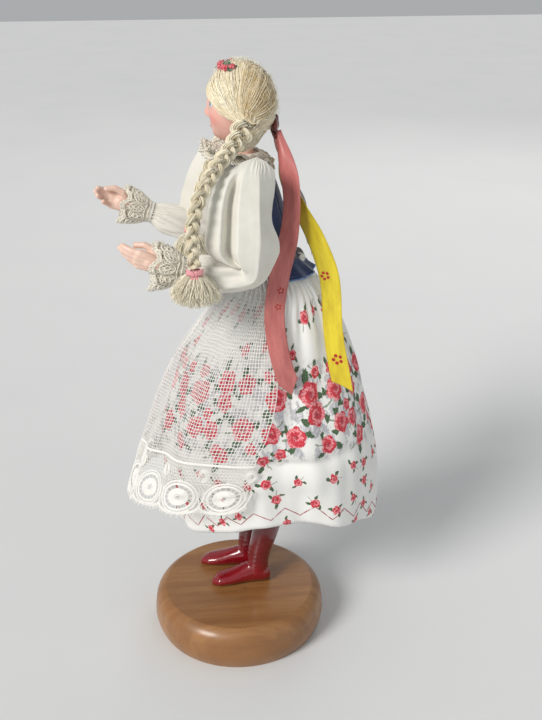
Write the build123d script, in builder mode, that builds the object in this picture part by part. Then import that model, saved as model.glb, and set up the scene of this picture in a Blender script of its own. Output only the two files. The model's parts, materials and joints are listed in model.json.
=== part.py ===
"""Costume doll on a turned wooden stand: the doll faces -Y, its left side is +X, +Z is up."""

import os
from math import cos, radians, sin

from build123d import *

os.makedirs("parts", exist_ok=True)

# Driving dimensions, in millimetres
BASE_RADIUS = 41.0
BASE_FLAT_RADIUS = 35.5
BASE_THICK = 20.0
SCREW_RADIUS = 1.5
SCREW_HEAD_RADIUS = 3.2
SCREW_HEAD_DEEP = 1.6
SCREW_LENGTH = 26.0
GAP = 0.3  # clearance between pieces that don't touch
CLOTH = 0.7  # thickness of a layer of cloth
RIBBON_THICK = 0.5

BODY_X = -7.0  # the doll stands a little to one side of the stand's centre
WAIST_Z = 182.0
HEM_Z = 52.0
HEM_LIFT = 15.0  # the hem is this much higher at the doll's sides
SKIRT_HALF_WIDTH = 33.0
LACE_TOP_Z = 101.0
LACE_BOTTOM_Z = 72.0

HEAD_CENTRE = Vector(BODY_X, 4.0, 248.2)
HEAD_RADII = (11.2, 12.6, 15.6)  # half width, half depth, half height
HAIR_THICK = 2.2
HEAD_TURN = -14.0  # degrees about Z that the head is turned at rest
WREATH_TILT = 58.0  # degrees above level at which the wreath crosses the top of the head
NECK = Vector(BODY_X, 6.0, 0)
NECK_PEG_RADIUS = 3.4
NECK_PEG_FIT = 0.05
NECK_PEG_BOTTOM = 231.0
NECK_PEG_TOP = 243.0
NECK_PEG_SEAT = 8.0  # depth of the peg in the body

UPPER_ARM_RADIUS = 4.0
FOREARM_RADIUS = 3.4
ELBOW_GAP = 7.2  # bare wire either side of the elbow's axis
WIRE_RADIUS = 0.6

# Each side: shoulder, elbow, wrist and fingertips of the arm
ARMS = {
    "left": (
        Vector(13.5, 8, 225),
        Vector(21, 6, 186.5),
        Vector(18, -30, 189.5),
        Vector(16, -49, 196),
    ),
    "right": (
        Vector(-27.5, 6, 225),
        Vector(-37, 0, 186.5),
        Vector(-40, -41, 199),
        Vector(-42, -58, 205.5),
    ),
}
# Each side: heel centre and toe of the foot, then ankle, calf and knee of the leg
LEGS = {
    "left": (
        Vector(-0.6, 9.5, 20),
        Vector(0.7, -13, 20),
        Vector(-0.6, 9.5, 31),
        Vector(1, 14, 54),
        Vector(1.6, 16, 75),
    ),
    "right": (
        Vector(-14.0, 6.5, 20),
        Vector(-18, -17, 20),
        Vector(-14.4, 6.5, 31),
        Vector(-15.6, 10.5, 54),
        Vector(-16, 14, 75),
    ),
}
# Distance from the heel's centre, half width and height of the foot
FOOT = [
    (-5.8, 2.6, 7.0),
    (-3.5, 4.4, 10.0),
    (1.0, 4.9, 11.0),
    (8.0, 4.5, 8.6),
    (15.0, 4.9, 6.0),
]
SHAFT_RADII = [5.2, 6.1, 7.4, 7.8]  # heel, ankle, calf, knee
THIGH_RADII = [6.4, 5.2]
HIP_SPREAD = 5.6
# Height, or height above the elbow where negative; half width, half depth and shift in Y of the sleeve
SLEEVE_TOP = 233.0
SLEEVE = [
    (-7.5, 7.5, 9.5, 0.0),
    (-3.5, 10.0, 13.5, -1.0),
    (198, 10.5, 16.3, -4.6),
    (215, 8.9, 13.6, -4.0),
    (228, 6.4, 8.0, 0.0),
    (SLEEVE_TOP, 3.0, 3.4, 0.0),
]
# Share of the way to the fingertips, half width and half thickness of the hand
HAND = [(0, 3.2, 3.0), (0.3, 3.4, 2.3), (0.55, 3.9, 2.0), (0.8, 3.0, 1.5), (1.0, 1.3, 0.9)]
CUFF_START = 8.6  # how far the cuff reaches back over the wrist
BRAIDS = {
    "left": [
        Vector(10.0, 5, 243.5),
        Vector(14, -0.8, 236.6),
        Vector(21, -7.7, 230.5),
        Vector(25.8, -13.3, 224.0),
        Vector(29.5, -17.4, 215.5),
        Vector(31.5, -19.6, 205.0),
        Vector(32, -18.6, 193.6),
    ],
    "right": [
        Vector(-24, 5, 243.5),
        Vector(-23.8, 0.2, 237.0),
        Vector(-21.5, -3.6, 229.5),
        Vector(-20.2, -7.0, 221.0),
        Vector(-19.4, -11.2, 212.3),
        Vector(-19.4, -14.8, 203.5),
        Vector(-18.6, -17.0, 194.0),
    ],
}
BRAID_RADII = [4.2, 4.3, 4.2, 4.0, 3.8, 3.6, 3.0]
# Height, centre in Y, half width and half depth of the body under the clothes, waist to neck
BODY = [
    (148, 17.5, 12.5, 9.5),
    (165, 17.5, 11.5, 9.0),
    (WAIST_Z, 17.5, 9.0, 7.0),
    (204, 12.5, 11.4, 8.2),
    (221, 9.0, 12.2, 6.4),
    (229, 7.0, 6.4, 5.4),
]
# The same for the vest's flared edge below the waist
PEPLUM = [(177.0, 20, 18.0, 15.6), (184.2, 17.7, 12.2, 10.1)]
# The same for the lace collar round the neck
COLLAR = [(229.4, NECK.Y, 12.6, 12.8), (232.6, NECK.Y, 8.0, 9.5)]
COLLAR_HOLE_RADIUS = 5.0
# Height, front and back in Y, half width of the skirt
SKIRT = [
    (WAIST_Z, 7.5, 27.5, 12.5),
    (176, 4, 35, 18),
    (160, -8, 45.5, 23),
    (141, -21, 53.5, 27),
    (120, -28, 59, 30),
    (101, -32, 63.5, 32),
    (80, -31, 67, SKIRT_HALF_WIDTH),
    (67, -28.5, 68, 32.5),
    (HEM_Z, -24.5, 68, 31.5),
]
# Height, front and back in Y, half width of the apron's full oval
APRON = [
    (176.6, 2, 37, 19.2),
    (160, -10.5, 47, 25),
    (141, -24.5, 55.5, 29.5),
    (LACE_TOP_Z, -41, 61, 35),
    (LACE_BOTTOM_Z, -50, 64, 37),
]
# The apron's side edges, as Y and height from the waist down; the apron lies in front of them
APRON_EDGE = [(12, 180), (14, 141), (9, 114), (2, 99), (0, LACE_BOTTOM_Z)]
UPWARDS = (Align.CENTER, Align.CENTER, Align.MIN)


def between(stations, z):
    """The station at height z, in line between the two nearest stations."""
    order = sorted(stations)
    for low, high in zip(order, order[1:]):
        if low[0] <= z <= high[0]:
            part = (z - low[0]) / (high[0] - low[0])
            return (z, *(a + (b - a) * part for a, b in zip(low[1:], high[1:])))
    raise ValueError(f"no station at {z}")


def span(stations, low, high):
    """The stations from height low to height high, with both ends."""
    inside = [s for s in stations if low < s[0] < high]
    return sorted([between(stations, low), between(stations, high), *inside])


def oval(front, back):
    """Centre and half depth of an oval from its front and its back."""
    return (front + back) / 2, (back - front) / 2


def as_ovals(stations):
    """Stations given by front and back, as centre and half depth."""
    return [(z, oval(front, back)[0], wide, oval(front, back)[1]) for z, front, back, wide in stations]


def level_loft(stations, grow=0.0):
    """A solid through level ovals of (height, centre in Y, half width, half depth)."""
    with BuildPart() as solid:
        for z, y, wide, deep in sorted(stations):
            with BuildSketch(Plane.XY.offset(z)):
                with Locations((BODY_X, y)):
                    Ellipse(wide + grow, deep + grow)
        loft(ruled=True)
    return solid.part


def path_loft(points, sizes, flat=False):
    """A solid along points. Each size is a radius, or a width and a thickness for a flat strip."""
    with BuildPart() as solid:
        for n, (point, size) in enumerate(zip(points, sizes)):
            before, after = points[max(n - 1, 0)], points[min(n + 1, len(points) - 1)]
            along = after - before
            across = Vector(size[2]) if flat else Vector(1, 0, 0)
            across = across - along * (across.dot(along) / along.dot(along))
            with BuildSketch(Plane(origin=point, x_dir=across, z_dir=along)):
                if flat:
                    Rectangle(size[0], size[1])
                else:
                    Circle(size)
        loft(ruled=True)
    return solid.part


def write(name, builder):
    """Label one finished piece and write its STEP."""
    builder.part.label = name
    export_step(builder.part, f"parts/{name}.step")


# The stand
screw_places = [(LEGS[side][0].X, LEGS[side][0].Y) for side in LEGS]
with BuildPart() as base:
    with BuildSketch(Plane.XZ):
        with BuildLine():
            Polyline((0, BASE_THICK), (0, 0), (BASE_RADIUS - 2.5, 0))
            ThreePointArc((BASE_RADIUS - 2.5, 0), (BASE_RADIUS - 0.4, 5.5), (BASE_RADIUS - 0.6, 12.0))
            ThreePointArc(
                (BASE_RADIUS - 0.6, 12.0),
                (BASE_RADIUS - 2.0, 17.2),
                (BASE_FLAT_RADIUS, BASE_THICK),
            )
            Line((BASE_FLAT_RADIUS, BASE_THICK), (0, BASE_THICK))
        make_face()
    revolve(axis=Axis.Z)
    with Locations(*[Pos(x, y, 0) * Rot(180, 0, 0) for x, y in screw_places]):
        CounterSinkHole(SCREW_RADIUS + 0.1, SCREW_HEAD_RADIUS + 0.1, depth=BASE_THICK)
write("base", base)

with BuildPart() as base_screws:
    for x, y in screw_places:
        with Locations((x, y, 0.3)):
            Cone(SCREW_HEAD_RADIUS - 0.3, SCREW_RADIUS, SCREW_HEAD_DEEP, align=UPWARDS)
            Cylinder(SCREW_RADIUS, SCREW_LENGTH, align=UPWARDS)
write("base_screws", base_screws)


def leg_loft(points, radii):
    """A solid through level circles, each round its own point."""
    with BuildPart() as solid:
        for point, radius in zip(points, radii):
            with BuildSketch(Plane.XY.offset(point.Z)):
                with Locations((point.X, point.Y)):
                    Circle(radius)
        loft()
    return solid.part


def boot(side):
    """A moulded foot with its pointed toe, and the shaft that widens to the knee."""
    heel, toe, ankle, calf, knee = LEGS[side]
    along = (toe - heel).normalized()
    side_way = Vector(-along.Y, along.X, 0)
    foot_length = (toe - heel).length
    toe_end = [(foot_length - 3.0, 3.6, 4.2), (foot_length, 1.2, 2.2)]
    with BuildPart() as shoe:
        for out, half_width, tall in FOOT + toe_end:
            section = Plane(origin=heel + along * out, x_dir=side_way, z_dir=along)
            with BuildSketch(section):
                with BuildLine():
                    Line((-half_width, 0), (half_width, 0))
                    ThreePointArc((half_width, 0), (0, tall), (-half_width, 0))
                make_face()
        loft(ruled=True)
        add(leg_loft([heel + Vector(0, 0, 4.5), ankle, calf, knee], SHAFT_RADII))
        with Locations(heel - Vector(0, 0, 1)):
            bore_depth = SCREW_LENGTH - BASE_THICK + 2.0
            Cylinder(SCREW_RADIUS + 0.1, bore_depth, align=UPWARDS, mode=Mode.SUBTRACT)
    return shoe


for side in LEGS:
    write(f"{side}_boot", boot(side))


def thigh(side):
    """The upper leg, from the top of the boot's shaft up to the hip."""
    knee = LEGS[side][4]
    outward = 1 if side == "left" else -1
    hip = Vector(BODY_X + outward * HIP_SPREAD, 17.5, BODY[0][0])
    with BuildPart() as leg:
        add(leg_loft([knee + Vector(0, 0, 0.1), hip - Vector(0, 0, 0.1)], THIGH_RADII))
    return leg


for side in LEGS:
    write(f"{side}_thigh", thigh(side))

# The body, its clothes layer by layer, and the neck peg
with BuildPart() as torso:
    add(level_loft(BODY))
    with Locations((NECK.X, NECK.Y, NECK_PEG_BOTTOM - NECK_PEG_SEAT)):
        Cylinder(NECK_PEG_RADIUS + NECK_PEG_FIT, 12, align=UPWARDS, mode=Mode.SUBTRACT)
write("torso", torso)

with BuildPart() as neck_peg:
    with Locations((NECK.X, NECK.Y, NECK_PEG_BOTTOM - NECK_PEG_SEAT)):
        Cylinder(NECK_PEG_RADIUS, NECK_PEG_TOP - NECK_PEG_BOTTOM + NECK_PEG_SEAT, align=UPWARDS)
write("neck_peg", neck_peg)


def worn(stations, inner, outer):
    """A hollow garment between two distances out from the stations' ovals."""
    with BuildPart() as garment:
        add(level_loft(stations, outer))
        add(level_loft(stations, inner), mode=Mode.SUBTRACT)
    return garment


write("blouse", worn(span(BODY, 170, 229), GAP, GAP + CLOTH))
write("vest", worn(span(BODY, 184.4, 221), 2 * GAP + CLOTH, 2 * (GAP + CLOTH)))
write("vest_peplum", worn(PEPLUM, 1.1, 2.2))
write("waistband", worn(span(BODY, 180.4, 184.2), 1.3, 2.6))
write("apron_tie", worn(span(BODY, 181.2, 183.6), 2.9, 3.7))

with BuildPart() as lace_collar:
    add(level_loft(COLLAR))
    with Locations((NECK.X, NECK.Y, COLLAR[0][0] - 1)):
        Cylinder(COLLAR_HOLE_RADIUS, 8, align=UPWARDS, mode=Mode.SUBTRACT)
write("lace_collar", lace_collar)

skirt_ovals = as_ovals(SKIRT)


def hem_cut(lift_from):
    """The bar that lifts the hem at the doll's sides, to be cut away."""
    half = SKIRT_HALF_WIDTH + 3
    raised = lift_from + HEM_LIFT * (half / SKIRT_HALF_WIDTH) ** 2
    left, right = BODY_X - half, BODY_X + half
    with BuildPart() as bar:
        with BuildSketch(Plane.XZ.offset(-100)):
            with BuildLine():
                ThreePointArc((left, raised), (BODY_X, lift_from), (right, raised))
                Polyline((right, raised), (right, 30), (left, 30), (left, raised))
            make_face()
        extrude(amount=200)
    return bar.part


skirt_body = span(skirt_ovals, HEM_Z, 180.3)
with BuildPart() as skirt:
    add(level_loft(skirt_body))
    add(level_loft(skirt_body, -1.0), mode=Mode.SUBTRACT)
    add(hem_cut(HEM_Z + 0.2), mode=Mode.SUBTRACT)
write("skirt", skirt)

petticoat_ovals = span(skirt_ovals, 78, 179)
with BuildPart() as petticoat:
    add(level_loft(petticoat_ovals, -1.8))
    add(level_loft(petticoat_ovals, -2.6), mode=Mode.SUBTRACT)
write("petticoat", petticoat)

apron_ovals = as_ovals(APRON)


def apron_piece(low, high):
    """A stretch of the apron, which covers the front half of the skirt."""
    stations = span(apron_ovals, low, high)
    with BuildPart() as piece:
        add(level_loft(stations, CLOTH))
        add(level_loft(stations), mode=Mode.SUBTRACT)
        with BuildSketch(Plane.YZ.offset(-100)):
            with BuildLine():
                Polyline(*APRON_EDGE, (0, 60), (120, 60), (120, 180), APRON_EDGE[0])
            make_face()
        extrude(amount=200, mode=Mode.SUBTRACT)
    return piece


write("apron_net", apron_piece(LACE_TOP_Z, 176.6))
write("apron_lace", apron_piece(LACE_BOTTOM_Z, LACE_TOP_Z))

# The head and what it wears; it is modelled facing -Y, then turned about the neck
turn = Rot(0, 0, HEAD_TURN)
turned = Pos(NECK.X, NECK.Y, 0) * turn * Pos(-NECK.X, -NECK.Y, 0)


def ellipsoid(centre, radii):
    """A ball stretched to three radii."""
    with BuildPart() as ball:
        Sphere(1.0)
        scale(by=radii)
    return turned * Pos(*centre) * ball.part


with BuildPart() as head:
    add(ellipsoid(HEAD_CENTRE, HEAD_RADII))
    add(ellipsoid(HEAD_CENTRE + Vector(0, -12.1, -3.2), (1.4, 2.6, 1.8)))
    with Locations((NECK.X, NECK.Y, NECK_PEG_TOP + GAP - 18)):
        Cylinder(NECK_PEG_RADIUS + NECK_PEG_FIT, 18, align=UPWARDS, mode=Mode.SUBTRACT)
write("head", head)

hair_centre = HEAD_CENTRE + Vector(0, 1.2, 0.9)
hair_radii = tuple(r + HAIR_THICK for r in HEAD_RADII)
with BuildPart() as hair:
    add(ellipsoid(hair_centre, hair_radii))
    add(ellipsoid(HEAD_CENTRE, tuple(r + 0.15 for r in HEAD_RADII)), mode=Mode.SUBTRACT)
    add(turned * Pos(BODY_X, -16.0, 245.2) * Box(18.4, 24, 27, mode=Mode.PRIVATE), mode=Mode.SUBTRACT)
    add(Pos(BODY_X, 5, 226) * Box(60, 60, 22, mode=Mode.PRIVATE), mode=Mode.SUBTRACT)
write("hair", hair)


def on_hair(angle, tilt, out=0.0):
    """A point on the hair: angle about Z from the front, tilt up from level."""
    a, b = radians(angle), radians(tilt)
    wide, deep, tall = hair_radii
    at = Vector(sin(a) * cos(b) * (wide + out), -cos(a) * cos(b) * (deep + out), sin(b) * (tall + out))
    return turned * Pos(*(hair_centre + at))


with BuildPart() as wreath_flowers:
    for angle in (-57, -19, 19, 57):
        with Locations(on_hair(angle, WREATH_TILT, 1.7)):
            Sphere(1.4)
write("wreath_flowers", wreath_flowers)

with BuildPart() as wreath_leaves:
    for angle in (-76, -38, 0, 38, 76):
        with Locations(on_hair(angle, WREATH_TILT, 1.1)):
            Sphere(0.8)
write("wreath_leaves", wreath_leaves)

with BuildPart() as nape_knot:
    add(ellipsoid(HEAD_CENTRE + Vector(0, 14.6, -8.6), (4.8, 2.6, 5.6)))
    add(ellipsoid(hair_centre, tuple(r + 0.2 for r in hair_radii)), mode=Mode.SUBTRACT)
write("nape_knot", nape_knot)


# Each ribbon: its width, then its points with the direction across its width at each
ribbons = {
    "ribbon_yellow": (
        9.0,
        (
            ((-4, 20.6, 233), (1, 0.1, 0)),
            ((0, 19.6, 219), (1, 0.3, 0)),
            ((4, 25, 208), (1, 0.5, 0)),
            ((8.8, 33.5, 197.4), (0.9, 1, 0)),
            ((12.0, 39.5, 183), (0.7, 1, 0)),
            ((16.0, 42.0, 157), (0.6, 1, 0)),
            ((19.0, 46.0, 132), (0.6, 1, 0)),
        ),
    ),
    "ribbon_rose": (
        8.6,
        (
            ((4.2, 20.2, 231.5), (0.5, 1, 0)),
            ((7, 22.5, 216), (0.4, 1, 0)),
            ((10, 23, 200.7), (0.3, 1, 0)),
            ((12, 20.5, 182), (0, 1, 0)),
            ((18.6, 17, 166), (-0.1, 1, 0)),
            ((23.6, 18.5, 148.3), (-0.1, 1, 0)),
            ((25.5, 21, 135.7), (-0.1, 1, 0)),
        ),
    ),
    "ribbon_white": (
        6.6,
        (
            ((-11.5, 20.4, 232), (1, -0.2, 0)),
            ((-12, 26, 220), (1, 0, 0)),
            ((-12, 31, 207), (1, 0, 0)),
            ((-12, 34, 190), (1, 0, 0)),
            ((-12.5, 35, 184.6), (1, 0, 0)),
        ),
    ),
    "ribbon_red": (
        6.0,
        (
            ((-18.4, 18.4, 232), (1, -0.5, 0)),
            ((-20, 25, 219), (1, -0.4, 0)),
            ((-21, 32, 203), (1, -0.3, 0)),
            ((-21, 38, 184), (1, -0.2, 0)),
            ((-22, 46, 160), (1, -0.5, 0)),
        ),
    ),
}
for name, (width, route) in ribbons.items():
    with BuildPart() as strip:
        points = [Vector(point) for point, _ in route]
        add(path_loft(points, [(width, RIBBON_THICK, across) for _, across in route], flat=True))
    write(name, strip)

# The braids hang from behind the ears, in front of the shoulders and outside the forearms
for side, path in BRAIDS.items():
    end = path[-1]
    with BuildPart() as braid:
        add(path_loft(path, BRAID_RADII))
    write(f"{side}_braid", braid)
    on = (path[-1] - path[-2]).normalized()
    with BuildPart() as braid_tie:
        add(path_loft([end + on * 0.2, end + on * 4.0], [2.6, 2.6]))
    write(f"{side}_braid_tie", braid_tie)
    with BuildPart() as tuft:
        fan = [end + on * 4.2, end + on * 6.0, end + on * 8.0 + Vector(0, 2, -12)]
        add(path_loft(fan, [2.2, 3.4, 6.2]))
    write(f"{side}_tuft", tuft)


def arm_line(side, start, out=0.0):
    """A point along one arm: a distance from the elbow, towards the shoulder or the wrist."""
    shoulder, elbow, wrist, _ = ARMS[side]
    towards = shoulder if start == "shoulder" else wrist
    return elbow + (towards - elbow).normalized() * out


def arm_pieces(side):
    """The stuffed arm, its wire, its hand, its sleeve and its cuff."""
    shoulder, elbow, wrist, tips = ARMS[side]
    outward = 1 if side == "left" else -1
    up, down = (shoulder - elbow).normalized(), (wrist - elbow).normalized()
    wire_points = [
        shoulder - up * 0.15 * (shoulder - elbow).length,
        arm_line(side, "shoulder", 4.0),
        arm_line(side, "wrist", 4.0),
        elbow + (wrist - elbow) * 0.9,
    ]
    bore_points = [wire_points[0] + up * GAP, *wire_points[1:3], wire_points[3] + down * GAP]
    with BuildPart() as wire:
        add(path_loft(wire_points, [WIRE_RADIUS] * 4))
    with BuildPart() as bore:
        add(path_loft(bore_points, [WIRE_RADIUS + 0.2] * 4))
    with BuildPart() as upper_arm:
        add(path_loft([shoulder, arm_line(side, "shoulder", ELBOW_GAP)], [UPPER_ARM_RADIUS] * 2))
        fillet(upper_arm.edges(), 1.6)
        add(bore.part, mode=Mode.SUBTRACT)
    with BuildPart() as forearm:
        near_elbow = arm_line(side, "wrist", ELBOW_GAP)
        add(path_loft([near_elbow, wrist], [FOREARM_RADIUS + 0.2, FOREARM_RADIUS]))
        add(bore.part, mode=Mode.SUBTRACT)
    with BuildPart() as hand:
        way = (tips - wrist).normalized()
        length = (tips - wrist).length
        start = wrist + down * 0.02
        for share, wide, thick in HAND:
            normal = down if share == 0 else way
            with BuildSketch(Plane(origin=start + way * length * share, x_dir=(1, 0, 0), z_dir=normal)):
                Ellipse(wide, thick)
        loft(ruled=True)
        thumb_root = wrist + way * 4.5 + Vector(outward * 2.4, 0, 0.6)
        add(path_loft([thumb_root, thumb_root + way * 5 + Vector(outward * 2.6, 0, 1.6)], [1.4, 0.9]))
    with BuildPart() as sleeve:
        for height, wide, deep, shift in SLEEVE:
            z = elbow.Z + height if height < 0 else height
            blend = min(max((z - elbow.Z) / (shoulder.Z - elbow.Z), 0), 1)
            middle = elbow + (shoulder - elbow) * blend
            with BuildSketch(Plane.XY.offset(z)):
                with Locations((middle.X + outward * 1.0, middle.Y + shift)):
                    Ellipse(wide, deep)
        loft(ruled=True)
        lower = [arm_line(side, "wrist", 2.0), arm_line(side, "wrist", 14.0), wrist - down * 9.0]
        add(path_loft(lower, [7.0, 7.2, 5.4]))
        upper_room = [shoulder + up * GAP, elbow]
        add(path_loft(upper_room, [UPPER_ARM_RADIUS + GAP] * 2), mode=Mode.SUBTRACT)
        with Locations(elbow):
            Sphere(UPPER_ARM_RADIUS + GAP, mode=Mode.SUBTRACT)
        lower_room = [elbow, wrist + down * 2]
        add(path_loft(lower_room, [FOREARM_RADIUS + 0.2 + GAP] * 2), mode=Mode.SUBTRACT)
    with BuildPart() as cuff:
        start = wrist - down * CUFF_START
        add(path_loft([start, start + down * 4, start + down * 10], [5.2, 8.8, 9.4]))
        add(path_loft([start - down, start + down * 11], [FOREARM_RADIUS + GAP] * 2), mode=Mode.SUBTRACT)
    write(f"{side}_arm_wire", wire)
    write(f"{side}_upper_arm", upper_arm)
    write(f"{side}_forearm", forearm)
    write(f"{side}_hand", hand)
    write(f"{side}_sleeve", sleeve)
    write(f"{side}_cuff", cuff)


for side in ARMS:
    arm_pieces(side)
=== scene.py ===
"""Looks of a costume doll on a turned stand. The doll faces -Y and its left side is +X.

Every length below is in millimetres, and MM turns it into Blender's metres.
"""

import json
import math

import bpy
import numpy as np
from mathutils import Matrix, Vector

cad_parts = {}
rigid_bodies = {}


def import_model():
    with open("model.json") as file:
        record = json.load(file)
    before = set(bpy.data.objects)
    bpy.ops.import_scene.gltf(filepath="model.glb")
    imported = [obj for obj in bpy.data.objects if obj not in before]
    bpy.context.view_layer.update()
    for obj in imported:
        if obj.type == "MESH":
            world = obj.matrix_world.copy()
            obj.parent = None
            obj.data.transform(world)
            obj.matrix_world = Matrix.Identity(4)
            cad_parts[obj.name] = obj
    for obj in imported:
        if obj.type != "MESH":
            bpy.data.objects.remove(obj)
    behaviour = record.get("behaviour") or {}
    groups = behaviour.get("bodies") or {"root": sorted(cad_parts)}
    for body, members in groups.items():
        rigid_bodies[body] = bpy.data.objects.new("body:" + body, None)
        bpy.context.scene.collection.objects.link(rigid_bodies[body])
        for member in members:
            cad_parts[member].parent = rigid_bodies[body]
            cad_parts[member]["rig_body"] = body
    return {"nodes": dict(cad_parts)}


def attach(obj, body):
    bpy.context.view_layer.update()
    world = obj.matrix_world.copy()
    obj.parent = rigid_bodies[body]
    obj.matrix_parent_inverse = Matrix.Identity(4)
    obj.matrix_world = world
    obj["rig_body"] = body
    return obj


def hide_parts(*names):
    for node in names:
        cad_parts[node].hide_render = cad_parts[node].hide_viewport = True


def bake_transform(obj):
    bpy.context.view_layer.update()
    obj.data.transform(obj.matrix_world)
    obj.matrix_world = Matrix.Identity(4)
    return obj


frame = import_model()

MM = 0.001
TAU = 2 * math.pi
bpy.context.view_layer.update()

SIDES = {"left": 1.0, "right": -1.0}  # the doll's own left is +X

BODY_X = -7.0
HEM_Z, HEM_LIFT, SKIRT_TOP = 52.2, 15.0, 180.3
SKIRT_HALF_WIDTH = 33.0
# Height, front and back in Y, half width
SKIRT = [
    (182, 7.5, 27.5, 12.5), (176, 4, 35, 18), (160, -8, 45.5, 23), (141, -21, 53.5, 27),
    (120, -28, 59, 30), (101, -32, 63.5, 32), (80, -31, 67, 33), (67, -28.5, 68, 32.5),
    (50, -24, 68, 31.5),
]
APRON = [
    (177, 2, 37, 19.2), (160, -10.5, 47, 25), (141, -24.5, 55.5, 29.5), (101, -41, 61, 35),
    (70, -50.5, 64, 37),
]
LACE_TOP, LACE_BOTTOM = 101.0, 72.0
# Height, centre in Y, half width and half depth of the body
BODY = [
    (148, 17.5, 12.5, 9.5), (165, 17.5, 11.5, 9.0), (182, 17.5, 9.0, 7.0), (204, 12.5, 11.4, 8.2),
    (221, 9.0, 12.2, 6.4), (229, 7.0, 6.4, 5.4),
]
HEAD_CENTRE = np.array([BODY_X, 4.0, 248.2])
HEAD_TURN = math.radians(-14.0)
NECK = np.array([BODY_X, 6.0, 240.0])
# Shoulder, elbow, wrist and fingertips
ARMS = {
    "left": np.array([(13.5, 8, 225), (21, 6, 186.5), (18, -30, 189.5), (16, -49, 196)]),
    "right": np.array([(-27.5, 6, 225), (-37, 0, 186.5), (-40, -41, 199), (-42, -58, 205.5)]),
}
# Heel, toe, ankle, calf and knee
LEGS = {
    "left": np.array([(-0.6, 9.5, 20), (0.7, -13, 20), (-0.6, 9.5, 31), (1, 14, 54), (1.6, 16, 75)]),
    "right": np.array([(-14, 6.5, 20), (-18, -17, 20), (-14.4, 6.5, 31), (-15.6, 10.5, 54), (-16, 14, 75)]),
}


# ---------------------------------------------------------------- numbers
def along(stations, at):
    """A smooth curve through stations (x, a, b, ...), read at each x of an array."""
    table = np.array(stations, float)
    table = table[np.argsort(table[:, 0])]
    x, y = table[:, 0], table[:, 1:]
    slope = np.gradient(y, x, axis=0)
    at = np.clip(np.asarray(at, float), x[0], x[-1])
    n = np.clip(np.searchsorted(x, at) - 1, 0, len(x) - 2)
    step = (x[n + 1] - x[n])[..., None]
    t = ((at - x[n])[..., None]) / step
    rise = y[n + 1] - y[n]
    cubic = (1 - t) ** 2 * t * slope[n] * step - (1 - t) * t**2 * slope[n + 1] * step
    return y[n] + rise * t * t * (3 - 2 * t) + cubic


def ease(x, low, high):
    """0 below low, 1 above high, smooth between."""
    t = np.clip((x - low) / (high - low), 0, 1)
    return t * t * (3 - 2 * t)


def hump(x, spread):
    """1 at 0, and falling away smoothly on both sides."""
    return np.exp(-((x / spread) ** 2))


def points_of(*coordinates):
    """Points from the arrays of their coordinates."""
    return np.stack(np.broadcast_arrays(*coordinates), -1)


def facing(azimuth, tilt):
    """Directions: azimuth 0 faces -Y and grows towards +X, and tilt is the angle above level."""
    return points_of(np.sin(azimuth) * np.cos(tilt), -np.cos(azimuth) * np.cos(tilt), np.sin(tilt))


def on_cloth(across, down):
    """Places on the flat cloth."""
    return points_of(across, down, 0.0)


def distance_along(line):
    return np.concatenate([[0], np.cumsum(np.linalg.norm(np.diff(line, axis=0), axis=1))])


def even_steps(line, count):
    """Points at even steps along a polyline."""
    line = np.asarray(line, float)
    run = distance_along(line)
    want = np.linspace(0, run[-1], count)
    return np.stack([np.interp(want, run, column) for column in line.T], -1)


def resample(path, count):
    """A smooth open curve through given points, at even steps."""
    run = distance_along(path)
    stations = np.column_stack([run, path])
    return even_steps(along(stations, np.linspace(0, run[-1], 400)), count)


def wrap(angle, rows, top, low):
    """The angle and height of each point of a cloth that goes round the doll, and the share of the way down."""
    t = np.linspace(0, 1, rows)[:, None]
    height = top + (low - top) * t + 0 * angle
    return np.broadcast_to(angle, height.shape), height, t


def unit(v):
    return v / np.maximum(np.linalg.norm(v, axis=-1, keepdims=True), 1e-9)


def turned(points):
    """Points of the head, modelled facing -Y, as the turned head holds them."""
    c, s = math.cos(HEAD_TURN), math.sin(HEAD_TURN)
    p = np.asarray(points, float) - NECK
    return points_of(c * p[..., 0] - s * p[..., 1], s * p[..., 0] + c * p[..., 1], p[..., 2]) + NECK


def soft_noise(points, scale, seed=0):
    """A smooth random field: a few plane waves, about -1 to 1."""
    waves = np.random.default_rng(seed)
    total = 0
    for _ in range(7):
        way = unit(waves.normal(size=3)) * scale * waves.uniform(0.6, 1.7)
        total = total + np.sin(points @ way + waves.uniform(0, TAU))
    return total / 3.5


# ---------------------------------------------------------------- meshes
def grid_faces(rows, columns, closed=False):
    """Quads of a grid of points, numbered row by row."""
    r = np.arange(rows - 1)[:, None]
    c = np.arange(columns if closed else columns - 1)[None, :]
    d = (c + 1) % columns
    corners = np.broadcast_arrays(r * columns + c, r * columns + d, (r + 1) * columns + d, (r + 1) * columns + c)
    return np.stack(corners, -1).reshape(-1, 4)


def add_object(name, data):
    made = bpy.data.objects.new(name, data)
    bpy.context.scene.collection.objects.link(made)
    return made


def piece(name, points, faces, body, material, slot, cloth=None, paint=None):
    """A smooth mesh that rides on a body. cloth holds each point's place on the flat cloth, and paint its tones."""
    points, faces = np.asarray(points, float).reshape(-1, 3), np.asarray(faces)
    mesh = bpy.data.meshes.new(name)
    mesh.vertices.add(len(points))
    mesh.vertices.foreach_set("co", (points * MM).ravel())
    mesh.loops.add(faces.size)
    mesh.loops.foreach_set("vertex_index", faces.ravel().astype(np.int32))
    mesh.polygons.add(len(faces))
    mesh.polygons.foreach_set("loop_start", np.arange(0, faces.size, faces.shape[1], dtype=np.int32))
    mesh.update(calc_edges=True)
    for label, values in (("cloth", cloth), ("paint", paint)):
        if values is not None:
            kept = mesh.attributes.new(label, "FLOAT_VECTOR", "POINT")
            kept.data.foreach_set("vector", np.asarray(values, float).ravel())
    mesh.shade_smooth()
    mesh.materials.append(material)
    made = add_object(name, mesh)
    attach(made, body)
    return made


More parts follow.
